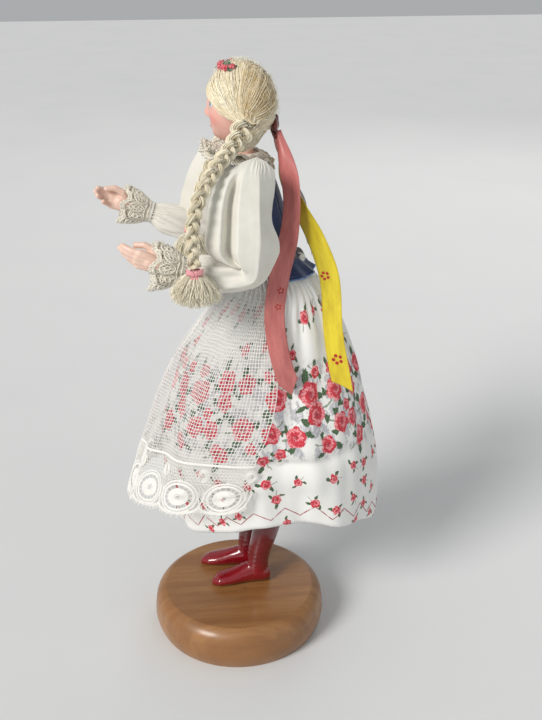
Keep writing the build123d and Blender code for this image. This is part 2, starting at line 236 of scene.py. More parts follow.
def modifier(made, kind, **settings):
    step = made.modifiers.new(kind.lower(), kind)
    for key, value in settings.items():
        setattr(step, key, value)


def thicken(made, thickness, offset=-1.0):
    """Gives a sheet its thickness: inwards, or with offset 0 to both sides."""
    modifier(made, "SOLIDIFY", thickness=thickness * MM, offset=offset, use_even_offset=False)


def garment(name, node, points, material, slot, cloth, thickness, **sheet):
    """A closed round of cloth on the standing body, in place of a CAD node, with each point's place on its flat cloth;
    the sheet settings are not used.
    """
    faces = grid_faces(*points.shape[:2], closed=True)
    made = piece(name, points, faces, "stand", material, slot, cloth)
    thicken(made, thickness)
    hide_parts(node)
    return made


def bend(made):
    """Takes the piece off its body and bakes its place into its points."""
    made.parent = None
    del made["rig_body"]
    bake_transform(made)


def tubes(paths, radii, sides=5, centre=(-7, 18, None), flat=1.0):
    """Points and quads of round or flattened threads. paths is (threads, points, 3).

    A thread's flat side faces away from centre, whose None leaves out that direction.
    """
    paths = np.asarray(paths, float)
    count, length = paths.shape[:2]
    radii = np.broadcast_to(np.asarray(radii, float), (count, length))
    way = unit(np.gradient(paths, axis=1))
    away = np.stack([paths[..., k] - c if c is not None else 0 * paths[..., k] for k, c in enumerate(centre)], -1)
    across = unit(np.cross(way, unit(away)) + 1e-5)
    over = np.cross(across, way) * flat
    turn = np.arange(sides) * TAU / sides
    around = across[:, :, None] * np.cos(turn)[:, None] + over[:, :, None] * np.sin(turn)[:, None]
    points = paths[:, :, None] + around * radii[:, :, None, None]
    faces = grid_faces(length, sides, closed=True)
    all_faces = faces[None] + (np.arange(count) * length * sides)[:, None, None]
    return points.reshape(-1, 3), all_faces.reshape(-1, 4)


def join(parts):
    """Several (points, faces) as one."""
    points, faces, first = [], [], 0
    for p, f in parts:
        points.append(p)
        faces.append(f + first)
        first += len(p)
    return np.concatenate(points), np.concatenate(faces)


# ---------------------------------------------------------------- materials
class Value:
    """A number in a material: sums with it add maths nodes."""

    def __init__(self, skin, socket):
        self.skin, self.socket = skin, socket

    def __add__(self, other):
        return self.skin.math("ADD", self, other)

    def __sub__(self, other):
        return self.skin.math("SUBTRACT", self, other)

    def __mul__(self, other):
        return self.skin.math("MULTIPLY", self, other)

    def __pow__(self, power):
        return self.skin.math("POWER", self, power)

    def __abs__(self):
        return self.skin.math("ABSOLUTE", self)


class Skin:
    """A Principled material, whose nodes are added by short calls."""

    def __init__(self, name, roughness=0.5, **sockets):
        self.made = bpy.data.materials.new(name)
        self.made.use_nodes = True
        self.tree = self.made.node_tree
        self.shader = self.tree.nodes["Principled BSDF"]
        self.set("Roughness", roughness)
        for socket, value in sockets.items():
            self.set(socket.replace("_", " "), value)

    def set(self, socket, value):
        self.give(self.shader.inputs[socket], value)

    def give(self, socket, value):
        value = value.socket if isinstance(value, Value) else value
        if isinstance(value, bpy.types.NodeSocket):
            self.tree.links.new(value, socket)
        else:
            socket.default_value = value

    def node(self, kind, inputs=(), **settings):
        made = self.tree.nodes.new("ShaderNode" + kind)
        for key, value in settings.items():
            setattr(made, key, value)
        for key, value in dict(inputs).items():
            self.give(made.inputs[key], value)
        return made

    def math(self, operation, a, b=0.0):
        return Value(self, self.node("Math", {0: a, 1: b}, operation=operation).outputs[0])

    def vector(self, operation, a, b, c=(0, 0, 0)):
        return self.node("VectorMath", {0: a, 1: b, 2: c}, operation=operation).outputs["Vector"]

    def length(self, vector):
        return Value(self, self.node("VectorMath", {0: vector}, operation="LENGTH").outputs["Value"])

    def spin(self, vector, angle):
        return self.node("VectorRotate", {"Vector": vector, "Angle": angle}, rotation_type="Z_AXIS").outputs[0]

    def mix(self, factor, a, b):
        a, b = [(*k, 1) if isinstance(k, tuple) and len(k) == 3 else k for k in (a, b)]
        return self.node("Mix", {0: factor, 6: a, 7: b}, data_type="RGBA").outputs[2]

    def place(self, name=None):
        """A kept attribute in millimetres, or the place on the object in metres."""
        if name:
            return self.node("Attribute", attribute_name=name).outputs["Vector"]
        return self.node("TexCoord").outputs["Object"]

    def parts(self, vector):
        return [Value(self, socket) for socket in self.node("SeparateXYZ", {0: vector}).outputs]

    def noise(self, vector, scale, detail=2.0, rough=0.5, stretch=None):
        if stretch:
            vector = self.vector("MULTIPLY", vector, stretch)
        inputs = {"Vector": vector, "Scale": scale, "Detail": detail, "Roughness": rough}
        return Value(self, self.node("TexNoise", inputs).outputs["Fac"])

    def wave(self, value, pitch, phase=0.0):
        """0 to 1 and back, once each pitch."""
        return self.math("SINE", value * (TAU / pitch) + phase) * 0.5 + 0.5

    def band(self, value, low, high, to_low=0.0, to_high=1.0):
        inputs = {0: value, 1: low, 2: high, 3: to_low, 4: to_high}
        return Value(self, self.node("MapRange", inputs, interpolation_type="SMOOTHSTEP").outputs[0])

    def fade(self, value, low, high):
        """1 below low and 0 above high."""
        return self.band(value, low, high, 1.0, 0.0)

    def bump(self, height, distance, strength=1.0):
        inputs = {"Height": height, "Distance": distance * MM, "Strength": strength}
        self.set("Normal", self.node("Bump", inputs).outputs[0])


def speckled(name, dark, light, grain, bumps=None, roughness=0.5, band=None, **sockets):
    """Two tones mixed by a noise (scale, detail and so on), and a bump from another (its depth, scale, detail)."""
    skin = Skin(name, roughness, **sockets)
    at = skin.place()
    tone = skin.noise(at, *grain)
    skin.set("Base Color", skin.mix(skin.band(tone, *band) if band else tone, dark, light))
    if bumps:
        skin.bump(skin.noise(at, *bumps[1:]), bumps[0])
    return skin.made


def weave(skin, flat, pitch, depth):
    """Over-and-under threads of plain cloth, as a bump."""
    x, y, _ = skin.parts(flat)
    checks = skin.wave(x, pitch) * skin.wave(y, pitch, 1.0)
    other = skin.wave(x, pitch, math.pi) * skin.wave(y, pitch, 1.0 + math.pi)
    skin.bump(checks + other, depth)


def varnished_wood():
    skin = Skin("varnished_wood", roughness=0.42, Coat_Weight=0.3, Coat_Roughness=0.2)
    at = skin.place()
    grain = skin.noise(at, 1.0, 6.0, 0.62, stretch=(900, 90, 340))
    rings = skin.noise(at, 1.0, 3.0, 0.5, stretch=(190, 14, 60))
    pores = skin.noise(at, 1.0, 1.0, 0.4, stretch=(2600, 420, 1500))
    body = skin.mix(skin.band(rings, 0.3, 0.7), (0.26, 0.112, 0.034), (0.35, 0.165, 0.055))
    body = skin.mix(skin.band(grain, 0.42, 0.66, 0.0, 0.35), body, (0.21, 0.085, 0.026))
    specks = skin.band(skin.noise(at, 420.0, 1.0, 0.4), 0.72, 0.80, 0.0, 0.4)
    body = skin.mix(specks, body, (0.10, 0.04, 0.015))
    body = skin.mix(skin.band(pores, 0.66, 0.8, 0.0, 0.15), body, (0.16, 0.07, 0.03))
    skin.set("Base Color", body)
    skin.set("Roughness", skin.band(skin.noise(at, 120.0), 0.3, 0.7, 0.36, 0.5))
    skin.bump(grain, 0.03, 0.3)
    return skin.made


def moulded_red():
    skin = Skin("boot_red", roughness=0.2, Coat_Weight=0.7, Coat_Roughness=0.06, IOR=1.5)
    at = skin.place()
    _, _, height = skin.parts(at)
    worn = skin.noise(at, 260.0, 4.0, 0.6)
    # The shaft above the foot is painted a darker red than the foot: painted shade from the skirt over it.
    foot = skin.band(height, 0.026, 0.036)
    colour = skin.mix(foot, (0.23, 0.005, 0.011), (0.15, 0.011, 0.016))
    colour = skin.mix(skin.band(worn, 0.5, 0.8, 0.0, 0.35), colour, (0.07, 0.004, 0.008))
    skin.set("Base Color", colour)
    skin.set("Roughness", skin.band(skin.noise(at, 400.0), 0.3, 0.7, 0.14, 0.3))
    skin.bump(skin.noise(at, 900.0, 3.0), 0.04, 0.4)
    return skin.made


def thread_material(name, colour, shade, roughness=0.6):
    return speckled(name, colour, shade, (700.0,), (0.03, 4000.0, 1.0), roughness, Sheen_Weight=0.2)


def plain_cloth(name, colour, shade, pitch, depth, roughness=0.85):
    """Woven cloth with thread-to-thread colour and a soft, patchy tone."""
    skin = Skin(name, roughness, Sheen_Weight=0.25, Sheen_Roughness=0.4)
    flat = skin.place("cloth")
    patches = skin.noise(flat, 0.09, 4.0, 0.6)
    threads = skin.noise(flat, 1.0, 2.0, 0.5, stretch=(3.0, 0.25, 1.0))
    body = skin.mix(skin.band(patches, 0.3, 0.75), colour, shade)
    body = skin.mix(skin.band(threads, 0.35, 0.8, 0.0, 0.25), body, shade)
    skin.set("Base Color", body)
    weave(skin, flat, pitch, depth)
    return skin.made


# ---------------------------------------------------------------- camera and lights
# Where the camera stands: round from the front, pitched down, and millimetres out, up and to one side
AZIMUTH, PITCH, REACH, EYE, ASIDE = math.radians(82), math.radians(24.2), 403.0, 320.0, 15.7
SENSOR, FOCAL_SHARE = 36.0, 1000.0 / 720.0
FLOOR = 3.0
KEY_WAY = (-0.62, 0.78, -0.66)
MIDDLE = (0, 0.01, 0.15)


def make_camera():
    """The photograph's view: a long lens at the doll's left, looking down a little."""
    lens = bpy.data.cameras.new("camera")
    lens.sensor_width, lens.lens, lens.clip_start = SENSOR, FOCAL_SHARE * SENSOR, 0.01
    made = add_object("camera", lens)
    c, s = math.cos(AZIMUTH), math.sin(AZIMUTH)
    made.location = ((s * REACH + c * ASIDE) * MM, (s * ASIDE - c * REACH) * MM, EYE * MM)
    made.rotation_euler = (math.pi / 2 - PITCH, 0, AZIMUTH)
    bpy.context.scene.camera = made


def light(name, kind, way, energy, colour, at=(0, 0, 0), **settings):
    lamp = bpy.data.lights.new(name, kind)
    for key, value in dict(settings, energy=energy, color=colour).items():
        setattr(lamp, key, value)
    made = add_object(name, lamp)
    made.location = at
    made.rotation_euler = Vector(way).to_track_quat("-Z", "Y").to_euler()


def make_studio():
    mesh = bpy.data.meshes.new("floor")
    corners = [(x * FLOOR, y * FLOOR, 0) for x, y in ((-1, -1), (1, -1), (1, 1), (-1, 1))]
    mesh.from_pydata(corners, [], [(0, 1, 2, 3)])
    mesh.materials.append(speckled("floor", (0.69, 0.70, 0.70), (0.75, 0.75, 0.745), (9.0, 3.0), roughness=0.85))
    add_object("floor", mesh)
    world = bpy.data.worlds.new("studio")
    world.use_nodes = True
    background = world.node_tree.nodes["Background"].inputs
    background[0].default_value, background[1].default_value = (0.80, 0.825, 0.84, 1), 0.50
    bpy.context.scene.world = world
    light("key", "SUN", KEY_WAY, 2.5, (1.0, 0.98, 0.95), angle=math.radians(22))
    for name, at, size, power, colour in (
        ("fill", (0.9, 0.7, 0.5), 0.9, 0.8, (0.9, 0.95, 1.0)),
        ("back", (-0.9, 0.5, 0.7), 0.6, 1.6, (1.0, 0.98, 0.95)),
    ):
        light(name, "AREA", np.subtract(MIDDLE, at), power, colour, at, shape="DISK", size=size)
    bpy.context.scene.view_settings.view_transform = "Standard"


make_camera()
make_studio()


# ---------------------------------------------------------------- the stand and the boots
def dress(node, material):
    """Gives a CAD node that stays in view its material."""
    slots = frame["nodes"][node].data.materials
    slots.clear()
    slots.append(material)


def tube_skin(sections, around=40):
    """Points and faces of a closed skin through rings (centre, across, over)."""
    turn = np.arange(around) * TAU / around
    rings = np.array([c + np.outer(np.cos(turn), a) + np.outer(np.sin(turn), o) for c, a, o in sections])
    points = np.concatenate([rings.reshape(-1, 3), [rings[0].mean(0), rings[-1].mean(0)]])
    first, last, base = len(points) - 2, len(points) - 1, (len(rings) - 1) * around
    after = [(n + 1) % around for n in range(around)]
    caps = [[n, first, m] for n, m in enumerate(after)] + [[base + m, last, base + n] for n, m in enumerate(after)]
    return points, grid_faces(len(rings), around, closed=True).tolist() + caps


def moulded(name, parts, body, material, voxel, smoothing, turns):
    """Closed skins melted into one moulded piece."""
    starts = np.cumsum([0] + [len(points) for points, _ in parts]).tolist()
    faces = [[n + start for n in face] for (_, rows), start in zip(parts, starts) for face in rows]
    mesh = bpy.data.meshes.new(name)
    mesh.from_pydata((np.concatenate([points for points, _ in parts]) * MM).tolist(), [], faces)
    made = add_object(name, mesh)
    modifier(made, "REMESH", mode="VOXEL", voxel_size=voxel * MM)
    modifier(made, "SMOOTH", factor=smoothing, iterations=turns)
    bpy.context.view_layer.update()
    done = bpy.data.meshes.new_from_object(made.evaluated_get(bpy.context.evaluated_depsgraph_get()))
    made.modifiers.clear()
    made.data = done
    done.materials.clear()
    done.materials.append(material)
    done.shade_smooth()
    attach(made, body)
    return made


# Distance ahead of the heel, half width and height of the foot, before its toe cap
FOOT = [
    (-6.0, 2.2, 6.0), (-5.0, 3.8, 8.6), (-3.0, 4.7, 10.2), (0.5, 4.9, 10.8), (4.5, 4.5, 10.6), (8, 4.5, 9.2),
    (12, 4.8, 7.6), (16, 4.9, 6.4), (20, 4.4, 5.4),
]
# Height and radius of the boot's shaft
SHAFT = [(23, 4.4), (27, 5.1), (32, 5.2), (38, 5.6), (46, 6.2), (54, 6.7), (64, 7.3), (73, 7.8), (75, 7.9)]


def boot(side, material):
    heel, toe, ankle, calf, knee = LEGS[side]
    out = unit(toe - heel)
    over = np.array([0, 0, 1.0])
    across = np.cross(over, out)
    length = np.linalg.norm(toe - heel)
    rings = []
    for ahead, half, tall in [*FOOT, (length - 1.6, 3.1, 4.2), (length + 0.2, 1.5, 2.6)]:
        rings.append((heel + out * ahead + over * tall / 2, across * half, over * tall / 2))
    points, faces = tube_skin(rings)
    points[:, 2] = np.maximum(points[:, 2], heel[2] + 0.05)
    leg = [(p[2], p[0], p[1]) for p in (ankle - over * 8, ankle, calf, knee)]
    shaft = [((*along(leg, [z])[0], z), across * radius * 0.94, out * radius) for z, radius in SHAFT]
    parts = [(points, faces), tube_skin(shaft)]
    made = moulded(f"{side}_boot_shell", parts, "stand", material, 0.42, 0.6, 14)
    mesh = made.data
    co = np.empty(len(mesh.vertices) * 3)
    mesh.vertices.foreach_get("co", co)
    co = co.reshape(-1, 3) / MM
    # A sole line pressed in just above the ground, and ankle wrinkles
    down = co[:, 2] - heel[2]
    local = (co - heel) @ out
    outward = unit(co - (heel + np.outer(local, out)) - np.outer(down * 0.98, over))
    press = -0.28 * hump(down - 1.35, 0.32) * (down < 4)
    ankle_band = ease(down, 7, 10) * (1 - ease(down, 15, 21)) * ease(local, -3, 3)
    wrinkle = 0.05 * np.sin(down * 2.4 + local * 0.5) * ankle_band
    co += outward * (press + wrinkle)[:, None]
    co[:, 2] = np.maximum(co[:, 2], heel[2] + 0.02)
    mesh.vertices.foreach_set("co", (co * MM).ravel())
    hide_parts(f"{side}_boot")


TURNED = (1.0, 2.0, 0.5, (300, 300, 4000))
dress("base", varnished_wood())
steel = speckled("screw_steel", (0.34, 0.33, 0.31), (0.62, 0.60, 0.56), TURNED, (0.01, *TURNED), 0.35, Metallic=1.0)
dress("base_screws", steel)
boot_material = moulded_red()
for side in SIDES:
    boot(side, boot_material)


# ---------------------------------------------------------------- the skirt and what it hangs with
def oval(stations, height):
    """Centre and half sizes in X and Y of a garment at each height."""
    front, back, wide = np.moveaxis(along(stations, height), -1, 0)
    return (front + back) / 2, wide, (back - front) / 2


def round_skirt(stations, angle, height, out=0.0):
    """Points on the garment: angle 0 faces the front, and grows towards the doll's left."""
    middle, wide, deep = oval(stations, height)
    x = BODY_X + np.sin(angle) * (wide + out)
    y = middle - np.cos(angle) * (deep + out)
    return points_of(x, y, height)


def gathers(angle, height):
    """How far the skirt's folds stand out, in millimetres."""
    down = (SKIRT_TOP - height) / (SKIRT_TOP - HEM_Z)
    waist = hump(down, 0.16) * ease(down, 0.0, 0.05)
    a = angle + 0.05 * np.sin(3 * angle + 1)
    tight = np.sin(46 * a + 2.2 * np.sin(5 * a)) * 0.55 + np.sin(29 * a + 1.0) * 0.35
    wander = 0.10 * np.sin(2.2 * down * np.pi + 2 * a)
    long_folds = np.sin(13 * (a + wander) + 1.3) * 0.7 + np.sin(21 * (a - wander) + 0.4) * 0.35
    wide_folds = np.sin(6 * a + 0.9) * 0.9 + np.sin(9 * (a + wander) + 2.1) * 0.8
    return (tight * waist + long_folds * ease(down, 0.03, 0.2) * (1 - ease(down, 0.35, 0.9) * 0.55)
            + wide_folds * ease(down, 0.25, 0.95) * 1.1)


def fold_line(angle, height):
    """The soft crease that the stored skirt keeps across it, and the cloth that bellies below it."""
    near = hump(angle - 1.45, 0.95)
    crease = 99.5 + 2.2 * np.sin(2.3 * angle + 0.4)
    groove = -2.1 * hump(height - crease, 2.8)
    belly = 1.5 * hump(height - crease + 8.0, 6.0)
    swell_above = 0.7 * hump(height - crease - 7, 4.0)
    return near * (groove + belly + swell_above)


def hem_height(angle):
    """The cut hem, which is higher at the doll's sides, with a slow wave."""
    side = np.sin(angle) * oval(SKIRT, np.full(np.shape(angle), 66.0))[1] / SKIRT_HALF_WIDTH
    wander = 0.7 * np.sin(5 * angle + 0.6) + 0.35 * np.sin(11 * angle)
    front = 2.0 * hump(np.sin(angle / 2), 0.28)
    return HEM_Z + HEM_LIFT * side**2 + wander + front


# Columns and rows of the skirt, the distance round it at its print's true size, and the print's repeat
AROUND, DOWN = 480, 190
SKIRT_AROUND, PRINT_REPEAT = 318.0, 79.5


def skirt_cloth():
    """The skirt's points, their places on its flat cloth, and each column's heights and folds for the stitching."""
    angle = np.arange(AROUND) * TAU / AROUND
    a, height, t = wrap(angle, DOWN, SKIRT_TOP, hem_height(angle))
    rumple = soft_noise(points_of(np.cos(a) * 30, np.sin(a) * 30, height), 0.16, 5) * 0.35
    out = gathers(a, height) + fold_line(a, height) + rumple * ease(t, 0.05, 0.3)
    rolled = out - 0.7 * ease(t, 0.985, 1.0)
    flat = on_cloth(a / TAU * SKIRT_AROUND, SKIRT_TOP - height)
    return round_skirt(SKIRT, a, height, rolled), flat, (height, out)


def print_blooms():
    """Each bloom of the border print: where round and down the cloth, its radius and the way its leaves point."""
    draw = np.random.default_rng(21)
    blooms = []
    half = PRINT_REPEAT / 2
    # Crowded roses in the middle of the cloth, sprays above and small sprigs near the hem
    for count, low, high, small, large, apart in (
        (14, 44, 78, 5.0, 6.8, 0.76), (9, 40, 82, 3.0, 4.0, 0.9), (9, 6, 40, 2.8, 3.9, 1.45),
        (6, 84, 92, 2.2, 2.8, 1.5), (8, 96, 114, 2.2, 2.9, 1.7), (5, 118, 127, 2.2, 2.8, 1.6),
    ):
        made = 0
        for _ in range(900):
            if made == count:
                break
            u, v, r = draw.uniform(0, PRINT_REPEAT), draw.uniform(low, high), draw.uniform(small, large)
            gaps = [math.hypot((u - p[0] + half) % PRINT_REPEAT - half, v - p[1]) - (r + p[2]) * apart for p in blooms]
            if all(gap > 0 for gap in gaps):
                blooms.append((u, v, r, draw.uniform(0, TAU)))
                made += 1
    return blooms


def rose_print():
    """White cotton printed with roses, leaves, grey shadow leaves and stems, in the flat cloth's millimetres."""
    skin = Skin("skirt_print", 0.78, Sheen_Weight=0.15, Sheen_Roughness=0.4)
    flat = skin.place("cloth")
    stray = skin.node("TexNoise", {"Vector": flat, "Scale": 0.55, "Detail": 3.0}).outputs["Color"]
    flat_soft = skin.vector("ADD", flat, skin.vector("MULTIPLY_ADD", stray, (2.0, 2.0, 0.0), (-1.0, -1.0, 0.0)))
    local = best = None
    for u, v, r, turn in print_blooms():
        away = skin.vector("SUBTRACT", flat_soft, (u, v, 0.0))
        away = skin.vector("WRAP", away, (PRINT_REPEAT / 2, 500, 1), (-PRINT_REPEAT / 2, -500, -1))
        away = skin.vector("MULTIPLY", away, (1 / r, 1 / r, 0))
        near = skin.length(away)
        spun = skin.spin(away, turn)
        if best is None:
            best, local = near, spun
            continue
        closer = skin.math("LESS_THAN", near, best)
        local = skin.node("Mix", {0: closer, 4: local, 5: spun}, data_type="VECTOR").outputs[1]
        best = skin.math("MINIMUM", near, best)
    x, y, _ = skin.parts(local)
    swirl = skin.math("ARCTAN2", y, x)
    rough_edge = skin.noise(flat, 0.9, 2.0, 0.6) * 0.34 + 0.68
    edge = skin.math("SINE", swirl * 5.0 + 0.4) * 0.07 + rough_edge
    inside = edge - best
    # Petals: uneven arcs round a dark heart, dabbed rather than drawn
    arcs = skin.math("SINE", best * 9.5 + skin.noise(flat, 0.75, 2.0, 0.5) * 7.0 + swirl)
    dabs = skin.noise(flat, 1.1, 3.0, 0.7)
    petals = skin.band(dabs * 1.6 + arcs, 0.35, 1.7)
    crimson = skin.mix(skin.band(dabs, 0.35, 0.65), (0.50, 0.006, 0.025), (0.74, 0.025, 0.055))
    pink = skin.mix(skin.band(dabs, 0.4, 0.65), (0.80, 0.13, 0.17), (0.93, 0.47, 0.47))
    rose = skin.mix(petals, crimson, pink)
    rose = skin.mix(skin.band(best, 0.05, 0.36, 0.8, 0.0), rose, (0.36, 0.004, 0.02))
    # Leaves: three pointed ovals beside each bloom
    leaf = None
    for turn, far, long, wide in ((0.3, 1.22, 0.62, 0.31), (2.5, 1.16, 0.58, 0.29), (4.3, 1.24, 0.62, 0.30)):
        at = skin.vector("SUBTRACT", local, (math.cos(turn) * far, math.sin(turn) * far, 0))
        a, b, _ = skin.parts(skin.spin(at, -turn - 0.5))
        shape = abs(a * (1 / long)) ** 1.7 + abs(b * (1 / wide))
        leaf = shape if leaf is None else skin.math("MINIMUM", leaf, shape)
    leaf_on = skin.fade(leaf, 0.88, 1.02)
    vein = skin.band(skin.noise(flat, 1.6, 2.0, 0.6), 0.45, 0.68)
    green = skin.mix(vein, (0.028, 0.075, 0.028), (0.13, 0.22, 0.085))
    # Grey-lilac brushed leaves behind the crowded band, where blooms are near
    _, down, _ = skin.parts(flat)
    crowded = skin.band(down, 26.0, 44.0) * skin.fade(down, 78.0, 86.0) * skin.fade(best, 1.6, 2.6)
    brushed = skin.noise(flat, 0.16, 3.0, 0.6, stretch=(1.5, 0.8, 1.0))
    streaky = skin.noise(flat, 1.0, 2.0, 0.6, stretch=(2.2, 0.5, 1.0))
    shadow = skin.band(brushed, 0.47, 0.56) * (crowded * 0.85) * skin.band(streaky, 0.3, 0.6, 0.35, 1.0)
    cotton = skin.mix(skin.noise(flat, 0.07, 4.0), (0.82, 0.81, 0.77), (0.89, 0.88, 0.85))
    ground = skin.mix(shadow, cotton, (0.36, 0.35, 0.40))
    # Short stems that join a bloom to its leaves
    stems = skin.fade(abs(y - x * 0.32), 0.05, 0.10) * skin.fade(best, 1.7, 1.9)
    ground = skin.mix(stems * 0.75, ground, (0.09, 0.16, 0.06))
    colour = skin.mix(leaf_on, ground, green)
    colour = skin.mix(skin.band(inside, -0.03, 0.03), colour, rose)
    thread = skin.noise(flat, 1.0, 1.0, 0.5, stretch=(2.4, 2.4, 1.0))
    colour = skin.mix(skin.band(thread, 0.45, 0.85, 0.0, 0.22), colour, (0.87, 0.86, 0.83))
    skin.set("Base Color", colour)
    weave(skin, flat, 0.36, 0.03)
    return skin.made


def hem_stitches(height, out):
    """The red zigzag sewn a little above the hem."""
    teeth, points_each = 22, 18
    step = np.arange(teeth * points_each + 1)
    want = step / (teeth * points_each) * TAU
    phase = (step % points_each) / points_each
    rise = np.where(phase < 0.5, phase * 2, 2 - phase * 2)
    z = hem_height(want) + 4.2 + (5.4 + 0.8 * np.sin(3.7 * want)) * rise
    column = np.round(want / TAU * AROUND).astype(int) % AROUND
    push = np.array([np.interp(zz, height[::-1, k], out[::-1, k]) for zz, k in zip(z, column)])
    return tubes([round_skirt(SKIRT, want, z, push + 0.2)], 0.27, 6)


cloth_points, cloth_flat, surface = skirt_cloth()
rose_cloth = rose_print()
skirt_shell = garment("skirt_cloth", "skirt", cloth_points, rose_cloth, "skirt_print", cloth_flat, 0.34)
red_thread = thread_material("stitch_thread", (0.45, 0.01, 0.03), (0.25, 0.0, 0.02))
stitch_row = piece("hem_stitches", *hem_stitches(*surface), "stand", red_thread, "skirt_print")


PETTICOAT_TOP, PETTICOAT_LOW = 179.0, 74.0


def petticoat():
    a, height, _ = wrap(np.arange(220) * TAU / 220, 70, PETTICOAT_TOP, PETTICOAT_LOW)
    height = height + 3.0 * np.sin(a) ** 2 * ease(180 - height, 20, 100)
    down = (PETTICOAT_TOP - height) / (PETTICOAT_TOP - PETTICOAT_LOW)
    folds = np.sin(17 * a + 1.5 * np.sin(4 * a)) * (0.35 + 0.4 * down)
    points = round_skirt(SKIRT, a, np.clip(height, 50, 180), -3.0 + folds)
    material = plain_cloth("petticoat_cotton", (0.80, 0.79, 0.75), (0.68, 0.67, 0.62), 0.4, 0.04)
    flat = on_cloth(a / TAU * 260, 180 - height)
    garment(
        "petticoat_cloth", "petticoat", points, material, "petticoat_cotton", flat, 0.3,
        flat=(0.26, 0.105), area=0.021, held="gathered", rests_on=["waistband"],
    )


petticoat()


# ---------------------------------------------------------------- the net apron and its lace
NET_PITCH, NET_TOP = 1.45, 181.2
APRON_FULL = [(182.5, 4.6, 30.0, 14.8)] + APRON
# Height and how far round the apron reaches to each side, in degrees
APRON_EDGE = [(183, 66), (176.6, 74), (160, 84), (141, 90), (114, 86.5), (101, 81.5), (86, 80), (66, 78)]
APRON_WIDE = 156.0


def on_apron(u, height, out=0.0):
    """A point of the apron: u runs across the flat net from 0 to APRON_WIDE."""
    height = np.asarray(height, float)
    reach = np.radians(along(APRON_EDGE, height)[..., 0])
    share = u / APRON_WIDE * 2 - 1
    down = np.clip((182 - height) / 112, 0, 1)
    sway = 0.035 * np.sin(5.0 * share + 3.2 * down) * ease(down, 0.05, 0.3)
    angle = (share + sway) * reach
    tight = 0.8 * np.sin(62 * share + 3 * np.sin(9 * share)) * hump(down, 0.14)
    loose = (0.9 * np.sin(19 * share + 2.0 * np.sin(3 * share) + 1.6 * down)
             + 0.8 * np.sin(11 * share - 1.2 * down + 0.7)) * ease(down, 0.03, 0.5)
    return round_skirt(APRON_FULL, angle, height, 0.9 + tight * 0.7 + loose + out)


def apron_net():
    columns = int(APRON_WIDE / NET_PITCH)
    rows = int((NET_TOP - LACE_TOP) / NET_PITCH)
    draw = np.random.default_rng(11)
    wobble_u = draw.normal(0, 0.10, (rows + 1, columns + 1))
    wobble_z = draw.normal(0, 0.10, (rows + 1, columns + 1))
    knots_u = np.linspace(0, APRON_WIDE, columns + 1)[None, :] + wobble_u
    knots_z = np.linspace(NET_TOP, LACE_TOP - 0.6, rows + 1)[:, None] + wobble_z
    parts = []
    # Down threads, and then threads across, each with a point between knots
    for u, z in ((knots_u.T, knots_z.T), (knots_u, knots_z)):
        fine_u = np.repeat(u, 2, axis=1)[:, :-1].copy()
        fine_z = np.repeat(z, 2, axis=1)[:, :-1].copy()
        fine_u[:, 1::2] = (u[:, 1:] + u[:, :-1]) / 2
        fine_z[:, 1::2] = (z[:, 1:] + z[:, :-1]) / 2
        radius = np.full(fine_u.shape, 0.16)
        radius[:, ::2] = 0.215
        parts.append(tubes(on_apron(fine_u, fine_z), radius, 4, flat=0.55))
    return join(parts)


def ring(u, v, wide, tall, start=0.0, end=TAU, count=33):
    turn = np.linspace(start, end, count)
    return points_of(u + np.cos(turn) * wide, v + np.sin(turn) * tall)


def level(length, v, count=500):
    return points_of(np.linspace(0, length, count), v)


def spokes(u, v, inner, outer, count):
    """Straight threads from one oval (half width, half height) to another."""
    ways = [np.array([math.cos(turn), math.sin(turn)]) for turn in np.arange(0, TAU, TAU / count)]
    return [[way * inner + (u, v), way * outer + (u, v)] for way in ways]


def picots(u, v, half_width, drop, count, size, plump):
    """Small loops along the edge of a scallop."""
    turns = np.linspace(math.pi - 0.1, 0.1, count)
    middles = [(u + math.cos(turn) * half_width, v + math.sin(turn) * drop) for turn in turns]
    return [ring(x, y, size * plump, size, 0, TAU, 13) for x, y in middles]


def keep_outside(row, ovals):
    """The stretches of a polyline that lie outside every oval (centre, half width, half height)."""
    free = np.ones(len(row), bool)
    for u, v, wide, tall in ovals:
        free &= ((row[:, 0] - u) / wide) ** 2 + ((row[:, 1] - v) / tall) ** 2 > 1
    breaks = np.flatnonzero(np.diff(free.astype(int))) + 1
    return [part for part, on in zip(np.split(row, breaks), np.split(free, breaks)) if on[0] and len(part) > 3]


def slanted_mesh(length, tall, step, lean=0.55):
    """Two crossing sets of slanted threads."""
    rows = []
    down = np.linspace(0, tall, 46)
    for way in (1, -1):
        for start in np.arange(-tall * lean - step, length + tall * lean + step, step):
            row = points_of(start + way * lean * down, down)
            rows.append(row[(row[:, 0] >= 0) & (row[:, 0] <= length)])
    return [row for row in rows if len(row) > 3]


